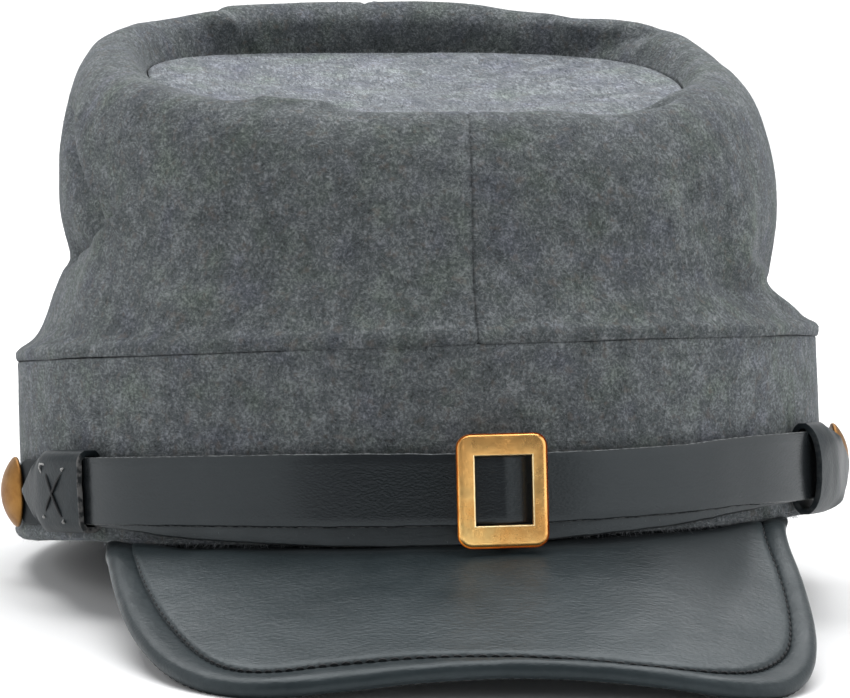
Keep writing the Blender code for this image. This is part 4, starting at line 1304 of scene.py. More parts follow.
# Rows of the visor: the flange's top is 2, the face's root 1, where the face goes under
# the binding 0.1, and the edge inside the binding 0.
FACE_ROW = 0.1
VISOR_ROWS = [2.0, 1.6, 1.3, 1.1, 1.0, 0.985]
VISOR_ROWS += [1.0 - share for share in spread(38, 0.03, 0.86)]
VISOR_ROWS += [0.13, 0.122, 0.115, 0.111, 0.107, 0.1035, FACE_ROW, 0.05, 0.0]
VISOR_SEAM_ROW = 0.104             # painted shade in the seam beside the binding
VISOR_SEAM_BREADTH = 0.0125        # in rows, and how much that changes at each stitch
VISOR_SEAM_CHANGE = 0.0045


def make_visor(material, pairs):
    """The leather sheet, dipping at the seam of its binding, with its hidden flange."""
    count = len(pairs)
    half = VISOR_LEATHER / 2.0
    below = BINDING_LEATHER + GAP + half
    inside = -(BAND_WALL + 2.0 * GAP + half)
    left = asin((VISOR_SHIFT - VISOR_HALF_WIDTH) / BAND_HALF_WIDTH)
    right = asin((VISOR_SHIFT + VISOR_HALF_WIDTH) / BAND_HALF_WIDTH)

    def place(u, v):
        index = round(u)
        edge, inward = pairs[index]
        way_round = index / (count - 1)
        angle = blend(left, right, way_round)
        if v >= 1.0:
            height = blend(-BAND_HEIGHT - below, -BAND_HEIGHT + VISOR_FLANGE, v - 1.0)
            return band_point(angle, inside, height)
        shoulder = edge + inward * reaches[index]
        if v <= FACE_ROW:
            under = v / FACE_ROW
            plan = (edge + inward * below).lerp(shoulder, under)
            return visor_point(plan, below + VISOR_EDGE_SINK * under)
        root = band_point(angle, inside, 0.0).to_2d()
        plan = shoulder.lerp(root, (v - FACE_ROW) / (1.0 - FACE_ROW))
        distance = (plan - shoulder).length
        rise = VISOR_FACE_RISE * smooth_step(distance / VISOR_EDGE_REACH)
        rise -= VISOR_EDGE_SINK * bell(distance / VISOR_EDGE_REACH)
        puff = waves(plan.to_3d(), VISOR_WAVES) * smooth_step(distance / VISOR_CALM_REACH)
        return visor_point(plan, below - rise - puff)

    def painted_shade_amount(turn, row):
        """Painted shade: dark in the stitched seam, wider at each stitch; dark and dull on the right
        and in the shadow at the root.
        """
        change = cos(2.0 * pi * turn / COLUMNS_PER_STITCH)
        breadth = VISOR_SEAM_BREADTH + VISOR_SEAM_CHANGE * change
        line = bell(max(0.0, row - VISOR_SEAM_ROW) / breadth)
        on_right = fade(turn / (count - 1.0), *VISOR_RIGHT_SHADE_FROM) * fade(row, *VISOR_RIGHT_SHADE_ROWS)
        at_root = fade(row, *ROOT_SHADE_ROWS)
        return max(line, VISOR_RIGHT_PAINTED_SHADE * on_right, ROOT_PAINTED_SHADE * at_root)

    reaches = [binding_reach(index / (count - 1)) for index in range(count)]
    mesh = bmesh.new()
    bend_grid(mesh, list(range(count)), VISOR_ROWS, place)
    mark(mesh, "painted_shade_mask", painted_shade_amount)
    face_up(mesh)
    add_piece(
        "visor_leather", mesh, material, ["visor"],
        wall=VISOR_LEATHER, offset=0.0,
    )


BINDING_PROFILE = (
    # share of the reach inwards from the rim's arc, depth below the upper face
    (1.00, 0.00150), (0.965, 0.00120), (0.925, 0.00092), (0.86, 0.00074),
    (0.74, 0.00056), (0.55, 0.00031), (0.32, 0.00010), (0.14, 0.00001),
)
PROFILE_STEP = 0.002               # about how far apart the rows of the profile lie
RIM_DEPTH = 0.0036
RIM_TURNS = (12.0, 30.0, 48.0, 66.0, 84.0, 100.0, 112.0, 120.0, 128.0, 140.0, 154.0, 168.0)
RIM_GROOVE = 0.00022
RIM_GROOVE_TURN = 119.0            # degrees from the top of the rim's turn
RIM_GROOVE_BREADTH = 5.0
RIM_STITCH_TURN = 136.0
RIM_THINNING = 0.26                # how much flatter the rim is pressed at its ends
RIM_THINNING_REACH = 0.05
PUCKER_DEPTH = 0.00016             # how the stitches pucker the binding's edge
PUCKER_INSET = 0.00018
PUCKER_ROWS = 2.2
RAW_EDGE_ROWS = ((16.0, 18.0), (21.0, 19.0))   # where the rim's wear begins and ends
STITCHED_ROWS = 1.7
BINDING_ROOT = (0.055, 0.020)      # shares of the way round over which painted shade darkens and dulls its ends
THREAD_INSET = 0.00005             # how far inside the binding's edge its stitches lie
THREAD_DEPTH = 0.00070
HIDDEN_DEPTH = 0.0008              # above this depth the binding runs on under the band


def binding_profile(reach, along):
    """The binding's outer outline as (inset from the edge, depth), top to underside."""
    pressed = smooth_step(min(along, 1.0 - along) / RIM_THINNING_REACH)
    radius = RIM_DEPTH / 2.0 * blend(1.0 - RIM_THINNING, 1.0, pressed)
    profile = [(radius + (reach - radius) * share, depth) for share, depth in BINDING_PROFILE]
    for turn in RIM_TURNS:
        out = radius - RIM_GROOVE * bell((turn - RIM_GROOVE_TURN) / RIM_GROOVE_BREADTH)
        profile.append((radius - out * sin(radians(turn)), radius - out * cos(radians(turn))))
    for share, depth in reversed(BINDING_PROFILE):
        profile.append((radius + (reach - radius) * share, 2.0 * radius - depth))
    return profile


def make_binding(material, pairs):
    """Soft leather folded over the rim and puckered by its stitches."""
    count = len(pairs)
    shares = [index / (count - 1) for index in range(count)]
    profiles = [binding_profile(binding_reach(share), share) for share in shares]
    rows = len(profiles[0])

    def place(u, v):
        edge, inward = pairs[round(u)]
        inset, depth = profiles[round(u)][round(v)]
        near = bell(v / PUCKER_ROWS)
        pull = cos(2.0 * pi * u / COLUMNS_PER_STITCH) * near
        puff = waves(Vector((*edge, v * PROFILE_STEP)), BINDING_WAVES) * (1.0 - near)
        plan = edge + inward * (inset + PUCKER_INSET * pull)
        return visor_point(plan, depth - PUCKER_DEPTH * pull - puff)

    def worn_rim(_turn, row):
        begins, ends = RAW_EDGE_ROWS
        return fade(row, *begins) * fade(row, *ends)

    # painted shade along the stitched edge and on the ends that run under the band
    def painted_shade_amount(turn, row):
        at_root = fade(min(turn, count - 1.0 - turn) / (count - 1.0), *BINDING_ROOT)
        return max(bell(row / STITCHED_ROWS), ROOT_PAINTED_SHADE * at_root)

    mesh = bmesh.new()
    bend_grid(mesh, list(range(count)), list(range(rows - 1, -1, -1)), place)
    mark(mesh, "raw_edge", worn_rim)
    mark(mesh, "painted_shade_mask", painted_shade_amount)
    add_piece(
        "binding_leather", mesh, material, ["visor_binding"],
        wall=BINDING_LEATHER * 0.8,
    )


STITCH_RISE = 0.8                  # shares of its radius: how far a stitch stands up
STITCH_DIVE = 2.6                  # and how far its ends dive from there


def stitch(mesh, start, end, normal, radius):
    """One stitch, a short thread that dives into the leather at both ends."""
    points = []
    for share in (0.0, 0.15, 0.5, 0.85, 1.0):
        rise = STITCH_RISE * radius - STITCH_DIVE * radius * (2.0 * share - 1.0) ** 4
        points.append(start.lerp(end, share) + normal * rise)
    thread(mesh, points, radius, sides=6)


def make_binding_stitches(material, pairs, stitches):
    mesh = bmesh.new()
    for index in range(1, stitches - 1):
        first = index * COLUMNS_PER_STITCH
        ends = []
        for column in (first, first + COLUMNS_PER_STITCH - 1):
            edge, inward = pairs[column]
            reach = binding_reach(column / (len(pairs) - 1)) + THREAD_INSET
            ends.append(visor_point(edge + inward * reach, THREAD_DEPTH))
        if ends[1].z < -BAND_HEIGHT - HIDDEN_DEPTH:
            middle, _inward = pairs[first + 1]
            stitch(mesh, *ends, visor_normal(*middle), STITCH_RADIUS)
    add_piece("binding_stitches", mesh, material)


def make_rim_stitches(material, pairs, stitches):
    """Small stitches along the rim's lower turn."""
    mesh = bmesh.new()
    radius = RIM_DEPTH / 2.0
    turn = radians(RIM_STITCH_TURN)
    inset, depth = radius - radius * sin(turn), radius - radius * cos(turn)
    for index in range(2, stitches - 2):
        first = index * COLUMNS_PER_STITCH
        ends = []
        for column in (first, first + COLUMNS_PER_STITCH - 1):
            edge, inward = pairs[column]
            ends.append(visor_point(edge + inward * inset, depth))
        edge, inward = pairs[first + 1]
        centre = visor_point(edge + inward * radius, radius)
        normal = (ends[0].lerp(ends[1], 0.5) - centre).normalized()
        stitch(mesh, *ends, normal, STITCH_RADIUS * 0.5)
    add_piece("rim_stitches", mesh, material)


STRAP_CORNER = 0.00042
STRAP_SWELL = 0.00006              # how uneven its face is
STRAP_WOBBLE = 0.00012             # and the cut of its edges
STRAP_FINE_WOBBLE = 0.00005
CUT_EDGE_WIDTH = 0.0001
STRAP_PAINTED_SHADE = 0.9               # painted shade that darkens and dulls the inner strap past the keepers
STRAP_SHADE_FROM = (63.0, 69.0)     # degrees from the front


def make_strap(name, out_rule, course, angles, material, node):
    """A leather strip round the front of the band, its edges rounded and burnished, their cut pale,
    partly as a painted highlight.
    """
    section = rounded_strip(STRAP_HALF_WIDTH, STRAP_LEATHER / 2.0, STRAP_CORNER, 8, 3)
    cut_from = STRAP_LEATHER / 2.0 - CUT_EDGE_WIDTH

    def place(angle, index):
        out, height = section[round(index)]
        rise, half_width = read_course(course, degrees(angle))
        share = height / STRAP_HALF_WIDTH
        uneven = STRAP_SWELL * noise.noise(Vector((angle * 9.0, share * 0.6, half_width * 900.0)))
        along = Vector((angle * 22.0, 3.0 if height > 0 else 7.0, 0.0))
        cut = STRAP_WOBBLE * noise.noise(along) + STRAP_FINE_WOBBLE * noise.noise(along * 3.1)
        height = STRAP_CENTRE_Z + rise + half_width * strap_taper(angle) * share
        return band_point(angle, out_rule(angle) + out + uneven, height + abs(share) * cut)

    def is_cut(_angle, index):
        out, _height = section[round(index)]
        return 1.0 if abs(out) < cut_from else 0.0

    # painted shade where the keepers and buttons shade the inner strap
    def shade_past_keepers(angle, _index):
        return STRAP_PAINTED_SHADE * fade(abs(degrees(angle)), *STRAP_SHADE_FROM)

    mesh = bmesh.new()
    bend_grid(mesh, angles, list(range(len(section))), place, closed_v=True)
    mark(mesh, "raw_edge", is_cut)
    mark(mesh, "painted_shade_mask", shade_past_keepers)
    cap_ends(mesh)
    add_piece(name, mesh, material, [node])


RIDGE_SPAN = 8.0                   # degrees either side of the buckle with finer columns
RIDGE_STEP = 0.2


def strap_columns(end, has_ridge=False):
    """Angles along a strap, a degree apart, and closer together over the buckle's bar."""
    angles = spread(round(2.0 * end), -end, end)
    if has_ridge:
        angles = [angle for angle in angles if abs(angle - BUCKLE_ANGLE) > RIDGE_SPAN]
        first, last = BUCKLE_ANGLE - RIDGE_SPAN, BUCKLE_ANGLE + RIDGE_SPAN
        angles += spread(round(2.0 * RIDGE_SPAN / RIDGE_STEP), first, last)
        angles.sort()
    return [radians(angle) for angle in angles]


KEEPER_FLAT_STEPS = 8
KEEPER_CORNER_STEPS = 5
KEEPER_UNEVENNESS = 0.00010
KEEPER_RAGGED = 0.25               # degrees that its cut end strays
KEEPER_RAGGED_REACH = 0.4
KEEPER_CUT = 0.01
KEEPER_ROUNDING = 0.00022


def keeper_outline(keeper, inner_out, outer_out):
    """The sleeve's middle line as (out, height), from its outer wall's foot round."""
    flat = keeper.half_height - keeper.tall_corner
    rounding = []
    for step in range(1, KEEPER_CORNER_STEPS + 1):
        turn = radians(90.0 * step / (KEEPER_CORNER_STEPS + 1))
        sunk = keeper.corner * (1.0 - cos(turn))
        rounding.append((sunk, flat + keeper.tall_corner * sin(turn)))
    outline = []
    for wall, other, inward, upward in (
        (outer_out, inner_out, -1.0, 1.0),
        (inner_out, outer_out, 1.0, -1.0),
    ):
        outline += [(wall, upward * height) for height in spread(KEEPER_FLAT_STEPS, -flat, flat)]
        outline += [(wall + inward * sunk, upward * height) for sunk, height in rounding]
        outline += [(other - inward * sunk, upward * height) for sunk, height in rounding[::-1]]
    middle = (inner_out + outer_out) / 2.0
    bulged = []
    for out, height in outline:
        bulge = keeper.bulge * (1.0 - (height / keeper.half_height) ** 2)
        bulged.append((out + bulge if out > middle else out, height))
    return bulged


def make_keeper(keeper, material):
    """A sleeve round both straps whose outer wall runs on as a pointed tab."""
    side, sign = keeper.side, keeper.sign
    half = KEEPER_LEATHER / 2.0
    inner_out = GAP + half
    outer_out = inner_out + half + 2.0 * STRAP_LEATHER + 3.0 * GAP + half
    outline = keeper_outline(keeper, inner_out, outer_out)
    count = len(outline)
    closed = outline + [outline[0]]
    first_rank = -KEEPER_CORNER_STEPS
    last_rank = KEEPER_FLAT_STEPS + KEEPER_CORNER_STEPS
    tab_ranks = [rank % count for rank in range(first_rank, last_rank + 1)]

    def uneven(u, height):
        return KEEPER_UNEVENNESS * noise.noise(Vector((u * 0.5, height * 260.0, sign)))

    def sleeve(u, index):
        out, height = closed[round(index)]
        stray = KEEPER_RAGGED * noise.noise(Vector((height * 700.0, out * 300.0, sign)))
        stray *= bell((u - keeper.start) / KEEPER_RAGGED_REACH)
        angle = sign * radians(u + stray)
        return band_point(angle, out + uneven(u, height), keeper.centre_z + height)

    def tab(u, rank):
        share = (u - keeper.sleeve_end) / (keeper.tip - keeper.sleeve_end)
        middle = 2.0 * rank / (len(tab_ranks) - 1) - 1.0
        above, below = keeper.narrowing
        power = blend(below, above, smooth_step(middle + 0.5))
        narrow = 1.0 - KEEPER_POINT * max(0.0, share) ** power
        flatten = smooth_step(share / KEEPER_FLATTEN)
        tab_out = blend(outer_out + keeper.bulge, keeper.tip_out, share)
        tab_out -= KEEPER_SAG * keeper.bulge * sin(pi * share)
        out, height = outline[tab_ranks[round(rank)]]
        height = blend(height, keeper.half_height * middle, flatten) * narrow
        out = blend(out, tab_out, flatten) + uneven(u, height)
        return band_point(sign * radians(u), out, keeper.centre_z + height)

    def is_cut(angle, rank):
        half_corner = KEEPER_CORNER_STEPS / 2.0
        on_outer_wall = min(rank, abs(rank - count)) < KEEPER_FLAT_STEPS + 0.5 + half_corner
        at_start = angle < keeper.start + KEEPER_CUT and on_outer_wall
        return keeper.cut_edge if at_start or angle > keeper.tip - KEEPER_CUT else 0.0

    mesh = bmesh.new()
    columns = [keeper.start, keeper.start + 0.12, keeper.start + 0.3]
    columns += spread(9, keeper.start + 0.9, keeper.sleeve_end)
    bend_grid(mesh, columns, list(range(count + 1)), sleeve, closed_v=True)
    columns = spread(14, keeper.sleeve_end, keeper.tip)
    bend_grid(mesh, columns, list(range(len(tab_ranks))), tab)
    bmesh.ops.remove_doubles(mesh, verts=mesh.verts[:], dist=1e-5)
    bmesh.ops.recalc_face_normals(mesh, faces=mesh.faces[:])
    mark(mesh, "raw_edge", is_cut)
    piece = add_piece(
        "keeper_%s_leather" % side, mesh, material, ["keeper_" + side],
        wall=KEEPER_LEATHER, offset=0.0,
    )
    rounding = piece.modifiers.new("Rounding", "BEVEL")
    rounding.width = KEEPER_ROUNDING
    rounding.segments = 2
    rounding.angle_limit = radians(50.0)


# Places on the left keeper, in degrees from the front and height above its middle.
CROSS_STITCH = (
    # each of the two threads from one end to the other
    ((62.4, 0.0044), (58.3, -0.0058)),
    ((58.1, 0.0044), (62.7, -0.0046)),
)
CROSS_RADIUS = 0.00026
CROSS_RISE = 0.00012
CROSS_ARCH = 0.0002
CROSS_DIVE = 0.0010
HOLE_HIGHLIGHTS = (
    # painted highlights: pale thread where the thread comes out of its holes
    ((63.3, 0.0036), (63.5, 0.0050), (63.2, 0.0058), (62.5, 0.0055)),
    ((58.3, 0.0042), (58.1, 0.0047), (57.9, 0.0048)),
    ((63.0, -0.0048), (62.8, -0.0052), (62.6, -0.0053)),
    ((58.3, -0.0056), (58.1, -0.0061), (58.0, -0.0063)),
)
HOLE_HIGHLIGHT_RADIUS = 0.00023
HOLE_HIGHLIGHT_RISE = 0.0003
HOLE_HIGHLIGHT_SINK = 0.0005


def make_cross_stitch(keeper, dark, highlight):
    """Two crossing threads, sunk at their holes, and pale threads at the holes as painted highlights.
    """
    layers = 2.0 * KEEPER_LEATHER + 2.0 * STRAP_LEATHER + 4.0 * GAP
    face_out = layers + keeper.bulge * 0.7

    def on_face(turn, height, rise):
        angle = keeper.sign * radians(turn)
        return band_point(angle, face_out + rise, keeper.centre_z + height)

    threads, ends = bmesh.new(), bmesh.new()
    for (start, high), (end, low) in CROSS_STITCH:
        points = []
        for share in spread(12):
            dive = CROSS_DIVE * (2.0 * share - 1.0) ** 8
            rise = CROSS_RISE + CROSS_ARCH * sin(pi * share) - dive
            points.append(on_face(blend(start, end, share), blend(high, low, share), rise))
        thread(threads, points, CROSS_RADIUS, sides=8)
    for corners in HOLE_HIGHLIGHTS:
        points = []
        for turn, height in corners:
            sunk = HOLE_HIGHLIGHT_SINK if (turn, height) in (corners[0], corners[-1]) else 0.0
            points.append(on_face(turn, height, HOLE_HIGHLIGHT_RISE - sunk))
        fine = [points[0]]
        for first, second in zip(points, points[1:]):
            fine += [first.lerp(second, 0.5), second]
        thread(ends, even_walk(fine, 9), HOLE_HIGHLIGHT_RADIUS, sides=8)
    add_piece("cross_stitch_" + keeper.side, threads, dark)
    add_piece("thread_ends_" + keeper.side, ends, highlight)


def make_visor_pieces(leather, dark_thread):
    """The visor, its binding and the threads that hold it."""
    visor_hide = leather_material(
        "visor_hide", leather, (0.014, 0.021, 0.0235), (0.026, 0.036, 0.040),
        grain=1700.0, crease=0.16, strength=0.26, has_painted_shade=True, Specular_IOR_Level=0.36,
    )
    binding_hide = leather_material(
        "binding_hide", leather, (0.014, 0.020, 0.0225), (0.026, 0.034, 0.0375),
        grain=1700.0, crease=0.10, strength=0.20, raw_edge=(0.060, 0.048, 0.038), has_painted_shade=True,
        Specular_IOR_Level=0.30,
    )
    coarse = [point for point, _inward in visor_edge(LENGTH_POINTS)]
    length = sum((second - first).length for first, second in zip(coarse, coarse[1:]))
    stitches = round(length / STITCH_PITCH)
    pairs = visor_edge(stitches * COLUMNS_PER_STITCH + 1)
    make_visor(visor_hide, pairs)
    make_binding(binding_hide, pairs)
    make_binding_stitches(dark_thread, pairs, stitches)
    make_rim_stitches(dark_thread, pairs, stitches)


def make_straps(leather):
    """The two layers of the chin strap."""
    strap_hide = leather_material(
        "strap_hide", leather, (0.006, 0.0072, 0.0082), (0.010, 0.012, 0.0135),
        # the pale cut edge is partly real and partly a painted highlight along the strap's edges
        grain=2600.0, crease=0.0, strength=0.10, raw_edge=(0.17, 0.175, 0.175),
        Roughness=0.26, Specular_IOR_Level=0.45,
    )
    inner_strap_hide = leather_material(
        "inner_strap_hide", leather, (0.010, 0.012, 0.013), (0.017, 0.020, 0.022),
        grain=2200.0, crease=0.1, strength=0.16, raw_edge=(0.06, 0.06, 0.058), has_painted_shade=True,
    )
    make_strap(
        "inner_strap_leather", inner_strap_out, INNER_STRAP_COURSE, strap_columns(INNER_STRAP_END),
        inner_strap_hide, "strap_inner",
    )
    make_strap(
        "outer_strap_leather", outer_strap_out, OUTER_STRAP_COURSE,
        strap_columns(OUTER_STRAP_END, has_ridge=True),
        strap_hide, "strap_outer",
    )


# ------------------------------------------------------------------------- brass pieces


RIM_ROUNDING = 0.00105
BAR_ROUNDING = 0.0003
RIGHT_DISH = 0.15                  # share of the left side's dish that the right side has
# painted shade: the buckle's top and right side are darker and more coppery
TOP_PAINTED_SHADE = 0.85
BUCKLE_RIGHT_PAINTED_SHADE = 0.5
TOP_SHADE_FROM = (0.0048, 0.0082)
BUCKLE_RIGHT_SHADE_FROM = (0.0030, 0.0070)


def rectangle(mesh, width, height):
    made = bmesh.ops.create_grid(mesh, x_segments=1, y_segments=1, size=0.5)["verts"]
    bmesh.ops.scale(mesh, vec=(width, height, 1.0), verts=made)
    return made


def box(mesh, size, centre):
    made = bmesh.ops.create_cube(mesh, size=1.0)["verts"]
    bmesh.ops.scale(mesh, vec=size, verts=made)
    bmesh.ops.translate(mesh, vec=centre, verts=made)
    return made


def soften(mesh, geometry, offset, segments, affect="EDGES"):
    """Bevels edges or corners."""
    bmesh.ops.bevel(
        mesh, geom=geometry, offset=offset, affect=affect, segments=segments, profile=0.5, material=-1
    )


def buckle_frame(mesh):
    """A flat ring with a rectangular window, made thick, and rounded or chamfered."""
    plate = rectangle(mesh, BUCKLE_WIDTH, BUCKLE_HEIGHT)
    soften(mesh, plate, BUCKLE_CORNER, 8, "VERTICES")
    rectangle(mesh, WINDOW_WIDTH, WINDOW_HEIGHT)
    bmesh.ops.delete(mesh, geom=mesh.faces[:], context="FACES_ONLY")
    bmesh.ops.bridge_loops(mesh, edges=mesh.edges[:])
    face_up(mesh)
    bmesh.ops.solidify(mesh, geom=mesh.faces[:], thickness=BUCKLE_THICKNESS)
    near = 1e-5
    rim, window = [], []
    for edge in mesh.edges:
        start, end = [vert.co for vert in edge.verts]
        if abs(start.z - end.z) > near or len(edge.link_faces) != 2:
            continue
        first, second = edge.link_faces
        if abs(first.normal.z - second.normal.z) < 0.5:
            continue
        in_window = max(abs(start.x), abs(end.x)) < WINDOW_WIDTH / 2.0 + near
        in_window = in_window and max(abs(start.y), abs(end.y)) < WINDOW_HEIGHT / 2.0 + near
        (window if in_window else rim).append(edge)
    soften(mesh, window, WINDOW_CHAMFER, 2)
    soften(mesh, [edge for edge in rim if edge.is_valid], RIM_ROUNDING, 7)


def make_buckle(material):
    """A cast frame with soft outer edges, a chamfered window and a bar behind."""
    angle = radians(BUCKLE_ANGLE)
    bar_back = 2.0 * GAP + STRAP_LEATHER
    frame_back = outer_strap_out(angle) + STRAP_LEATHER / 2.0 + GAP
    mesh = bmesh.new()
    buckle_frame(mesh)
    top = max(vert.co.z for vert in mesh.verts)
    lift = (0.0, 0.0, frame_back + BUCKLE_THICKNESS - top)
    bmesh.ops.translate(mesh, vec=lift, verts=mesh.verts[:])

    bar_length = 2.0 * (BAR_POST_Z + BAR_POST_HEIGHT)
    middle = (0.0, 0.0, bar_back + BAR_THICKNESS / 2.0)
    corners = box(mesh, (BAR_WIDTH, bar_length, BAR_THICKNESS), middle)
    depth = frame_back + BUCKLE_THICKNESS / 2.0 - bar_back
    for way in (-1.0, 1.0):
        centre = (0.0, way * (BAR_POST_Z + BAR_POST_HEIGHT / 2.0), bar_back + depth / 2.0)
        corners += box(mesh, (BAR_WIDTH, BAR_POST_HEIGHT, depth), centre)
    edges = {edge for vert in corners for edge in vert.link_edges}
    soften(mesh, list(edges), BAR_ROUNDING, 2)

    painted_side_shade = mesh.verts.layers.float.new("painted_side_shade")
    worn = mesh.verts.layers.float.new("pale_chamfer")
    for vert in mesh.verts:
        beyond = max(abs(vert.co.x) - WINDOW_WIDTH / 2.0, abs(vert.co.y) - WINDOW_HEIGHT / 2.0)
        # marks the window's chamfer for paler yellow brass
        vert[worn] = 1.0 if 0.1 < beyond / WINDOW_CHAMFER < 0.9 else 0.0
        dish = BUCKLE_DISH * (1.0 if vert.co.x < 0.0 else RIGHT_DISH)
        vert.co.z += dish * (2.0 * vert.co.x / BUCKLE_WIDTH) ** 2
        left_bar = (-vert.co.x - WINDOW_WIDTH / 2.0) / (BUCKLE_WIDTH - WINDOW_WIDTH) * 2.0
        vert.co.x -= BUCKLE_LEFT_EXTRA * max(0.0, left_bar)
        # painted shade on the top and the right side
        above = TOP_PAINTED_SHADE * fade(vert.co.y, *TOP_SHADE_FROM)
        beside = BUCKLE_RIGHT_PAINTED_SHADE * fade(vert.co.x, *BUCKLE_RIGHT_SHADE_FROM)
        vert[painted_side_shade] = max(above, beside)
    tilt = Matrix.Rotation(radians(BUCKLE_TILT), 4, "Z")
    seat = outward_matrix(angle, 0.0, BUCKLE_CENTRE_Z) @ tilt
    bmesh.ops.transform(mesh, matrix=seat, verts=mesh.verts[:])
    add_piece("buckle_brass", mesh, material, ["buckle"], sharp_angle=38.0)


# The button's outline below its dome, as shares of its radius and of its rim's height.
BUTTON_EDGE = ((0.985, 1.02), (1.0, 0.8), (1.0, 0.45), (0.985, 0.15), (0.94, 0.0), (0.84, 0.1))
DOME_SHARE = 0.965                 # share of the radius that the dome takes up
SHANK_TOP = 0.2


def make_button(side, sign, material):
    """A domed button with a rolled rim, spun round its own axis on its shank."""
    angle, stand_off, rise = BUTTONS[side]
    seat_out = 2.0 * GAP + STRAP_LEATHER + stand_off
    shank_depth = seat_out + BAND_WALL + GAP
    dome = (BUTTON_RADIUS ** 2 + BUTTON_DOME ** 2) / (2.0 * BUTTON_DOME)
    profile = []
    for share in spread(14):
        radius = BUTTON_RADIUS * DOME_SHARE * share
        profile.append((radius, BUTTON_RIM + sqrt(dome ** 2 - radius ** 2) - dome + BUTTON_DOME))
    profile += [(BUTTON_RADIUS * across, BUTTON_RIM * up) for across, up in BUTTON_EDGE]
    profile += [
        (SHANK_RADIUS, BUTTON_RIM * SHANK_TOP), (SHANK_RADIUS, -shank_depth),
        (SHANK_FOOT_RADIUS, -shank_depth), (SHANK_FOOT_RADIUS, -shank_depth - SHANK_FOOT),
        (0.0, -shank_depth - SHANK_FOOT),
    ]
    mesh = bmesh.new()
    corners = [mesh.verts.new((radius, 0.0, height)) for radius, height in profile]
    edges = [mesh.edges.new(pair) for pair in zip(corners, corners[1:])]
    bmesh.ops.spin(
        mesh, geom=corners + edges, cent=(0.0, 0.0, 0.0), axis=(0.0, 0.0, 1.0),
        angle=2.0 * pi, steps=56, use_merge=True,
    )
    bmesh.ops.remove_doubles(mesh, verts=mesh.verts[:], dist=1e-6)
    bmesh.ops.recalc_face_normals(mesh, faces=mesh.faces[:])
    seat = outward_matrix(sign * radians(angle), seat_out, STRAP_CENTRE_Z + rise)
    bmesh.ops.transform(mesh, matrix=seat, verts=mesh.verts[:])
    add_piece(
        "button_%s_brass" % side, mesh, material, ["button_" + side],
        sharp_angle=50.0,
    )


def make_fittings(leather, dark_thread):
    """What is on the strap: keepers, side buttons, buckle and the left keeper's stitches."""
    brass = brass_group()
    keeper_hide = leather_material(
        "keeper_hide", leather, (0.010, 0.0135, 0.0155), (0.018, 0.023, 0.026),
        grain=1500.0, crease=0.1, strength=0.16, raw_edge=(0.20, 0.195, 0.19),
        Roughness=0.40, Specular_IOR_Level=0.17,
    )
    buckle_metal = brass_material(
        "buckle_metal", brass, bright=(1.0, 0.68, 0.26), coppery=(0.88, 0.45, 0.13),
        smooth=0.24, dull=0.42,
    )
    button_metal = brass_material(
        "button_metal", brass, bright=(0.30, 0.153, 0.044), coppery=(0.21, 0.093, 0.025),
        smooth=0.40, dull=0.52,
    )
    # pale thread, a painted highlight at the stitch holes
    highlight_thread = thread_material("highlight_thread", (0.42, 0.42, 0.41))
    for keeper in KEEPERS:
        make_keeper(keeper, keeper_hide)
        make_button(keeper.side, keeper.sign, button_metal)
    make_buckle(buckle_metal)
    make_cross_stitch(KEEPERS[0], dark_thread, highlight_thread)


# ----------------------------------------------------------------------- stage and light


FLOOR_HALF = 2.6
FLOOR_GREY = (0.86, 0.86, 0.86, 1.0)
BACKDROP_DISTANCE = 1.5
BACKDROP_RADIUS = 0.7
BACKDROP_HEIGHT = 2.2

LIGHT_TARGET = Vector((0.0, 0.0, 0.06))
LIGHTS = (
    # name        azimuth elevation distance width height power
    ("left_box",  -84.0,  20.0,     1.25,    1.95, 1.10,  6.5),
    ("right_box", 58.0,   18.0,     1.20,    1.02, 1.10,  5.1),
    ("far_box",   99.0,   18.0,     1.20,    0.78, 1.10,  3.1),
    ("top_box",   175.0,  72.0,     1.30,    1.60, 1.40,  31.5),
)
WASH_PLACE = (0.0, 0.75, 1.15)     # a light on the backdrop alone
WASH_BACK = Vector((0.0, -1.0, 0.55))
WASH_SIZE = (3.0, 0.5)
WASH_POWER = 26.0
SKY_COLOUR = (0.93, 0.96, 1.0, 1.0)
SKY_STRENGTH = 0.295


def make_stage():
    """A pale floor that curves up into a backdrop."""
    mesh = bmesh.new()
    start = mesh.verts.new((-FLOOR_HALF, -FLOOR_HALF, 0.0))
    end = mesh.verts.new((FLOOR_HALF, -FLOOR_HALF, 0.0))
    edges = [mesh.edges.new((start, end))]
    steps = [(BACKDROP_DISTANCE, 0.0)]
    for turn in spread(12, 0.0, pi / 2.0)[1:]:
        rise = BACKDROP_RADIUS * (1.0 - cos(turn))
        steps.append((BACKDROP_DISTANCE + BACKDROP_RADIUS * sin(turn), rise))
    steps.append((BACKDROP_DISTANCE + BACKDROP_RADIUS, BACKDROP_HEIGHT))
    for y, z in steps:
        made = bmesh.ops.extrude_edge_only(mesh, edges=edges)["geom"]
        edges = [edge for edge in made if isinstance(edge, bmesh.types.BMEdge)]
        for vert in {vert for edge in edges for vert in edge.verts}:
            vert.co.y, vert.co.z = y, z
    bmesh.ops.recalc_face_normals(mesh, faces=mesh.faces[:])
    data = finished("floor", mesh)
    data.shade_smooth()
    material, _nodes, _shader = new_material("pale_floor", Base_Color=FLOOR_GREY, Roughness=0.9)
    data.materials.append(material)
    new_object("floor", data)


def make_light(name, place, back, size, power):
    """A soft rectangular light at a place, with back pointing away from what it lights."""
    light = bpy.data.lights.new(name, "AREA")
    light.shape = "RECTANGLE"
    light.size, light.size_y = size
    light.energy = power
    lamp = new_object(name, light)
    lamp.location = place
    lamp.rotation_euler = back.to_track_quat("Z", "Y").to_euler()


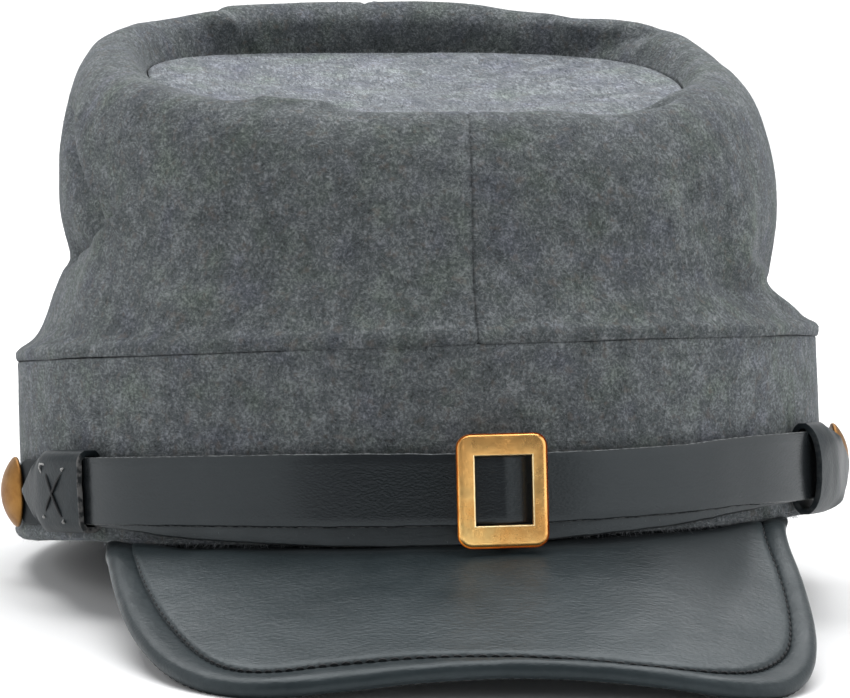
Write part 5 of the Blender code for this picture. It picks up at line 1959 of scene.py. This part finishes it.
def make_lights():
    for name, azimuth, elevation, distance, width, height, power in LIGHTS:
        turn, rise = radians(azimuth), radians(elevation)
        way = Vector((sin(turn) * cos(rise), -cos(turn) * cos(rise), sin(rise)))
        make_light(name, LIGHT_TARGET + way * distance, way, (width, height), power)
    make_light("backdrop_wash", WASH_PLACE, WASH_BACK, WASH_SIZE, WASH_POWER)
    sky = bpy.data.worlds.new("studio")
    sky.use_nodes = True
    background = sky.node_tree.nodes["Background"]
    background.inputs["Color"].default_value = SKY_COLOUR
    background.inputs["Strength"].default_value = SKY_STRENGTH
    bpy.context.scene.world = sky
    bpy.context.scene.view_settings.view_transform = "Standard"


# Camera, placed from the cap's own axis so that it sees the cap as the photograph does.
CAMERA_DISTANCE = 0.80
CAMERA_YAW = -6.98
CAMERA_ELEVATION = -0.30
CAMERA_ROLL = 1.89
CAMERA_FOCAL_PX = 3616.0
IMAGE_WIDTH = 850
IMAGE_HEIGHT = 698
AXIS_PX = (414.4, 348.2)
SENSOR_WIDTH = 36.0


def make_camera():
    yaw, rise, roll = radians(CAMERA_YAW), radians(CAMERA_ELEVATION), radians(CAMERA_ROLL)
    back = Vector((sin(yaw) * cos(rise), -cos(yaw) * cos(rise), sin(rise)))
    right = Vector((cos(yaw), sin(yaw), 0.0))
    up = back.cross(right)
    level = (cos(roll) * right - sin(roll) * up, sin(roll) * right + cos(roll) * up)
    turn = Matrix((*level, back)).transposed().to_4x4()
    lens = bpy.data.cameras.new("camera")
    lens.sensor_width = SENSOR_WIDTH
    lens.lens = CAMERA_FOCAL_PX / IMAGE_WIDTH * SENSOR_WIDTH
    lens.shift_x = (IMAGE_WIDTH / 2.0 - AXIS_PX[0]) / IMAGE_WIDTH
    lens.shift_y = (AXIS_PX[1] - IMAGE_HEIGHT / 2.0) / IMAGE_WIDTH
    camera = new_object("camera", lens)
    camera.matrix_world = REST @ Matrix.Translation(back * CAMERA_DISTANCE) @ turn
    bpy.context.scene.camera = camera


# ------------------------------------------------------------------------------ assembly


fine_leather = leather_group()
dark_thread = thread_material("dark_thread", (0.014, 0.015, 0.017))

make_wool_pieces()
make_visor_pieces(fine_leather, dark_thread)
make_straps(fine_leather)
make_fittings(fine_leather, dark_thread)
make_stage()
make_lights()
make_camera()
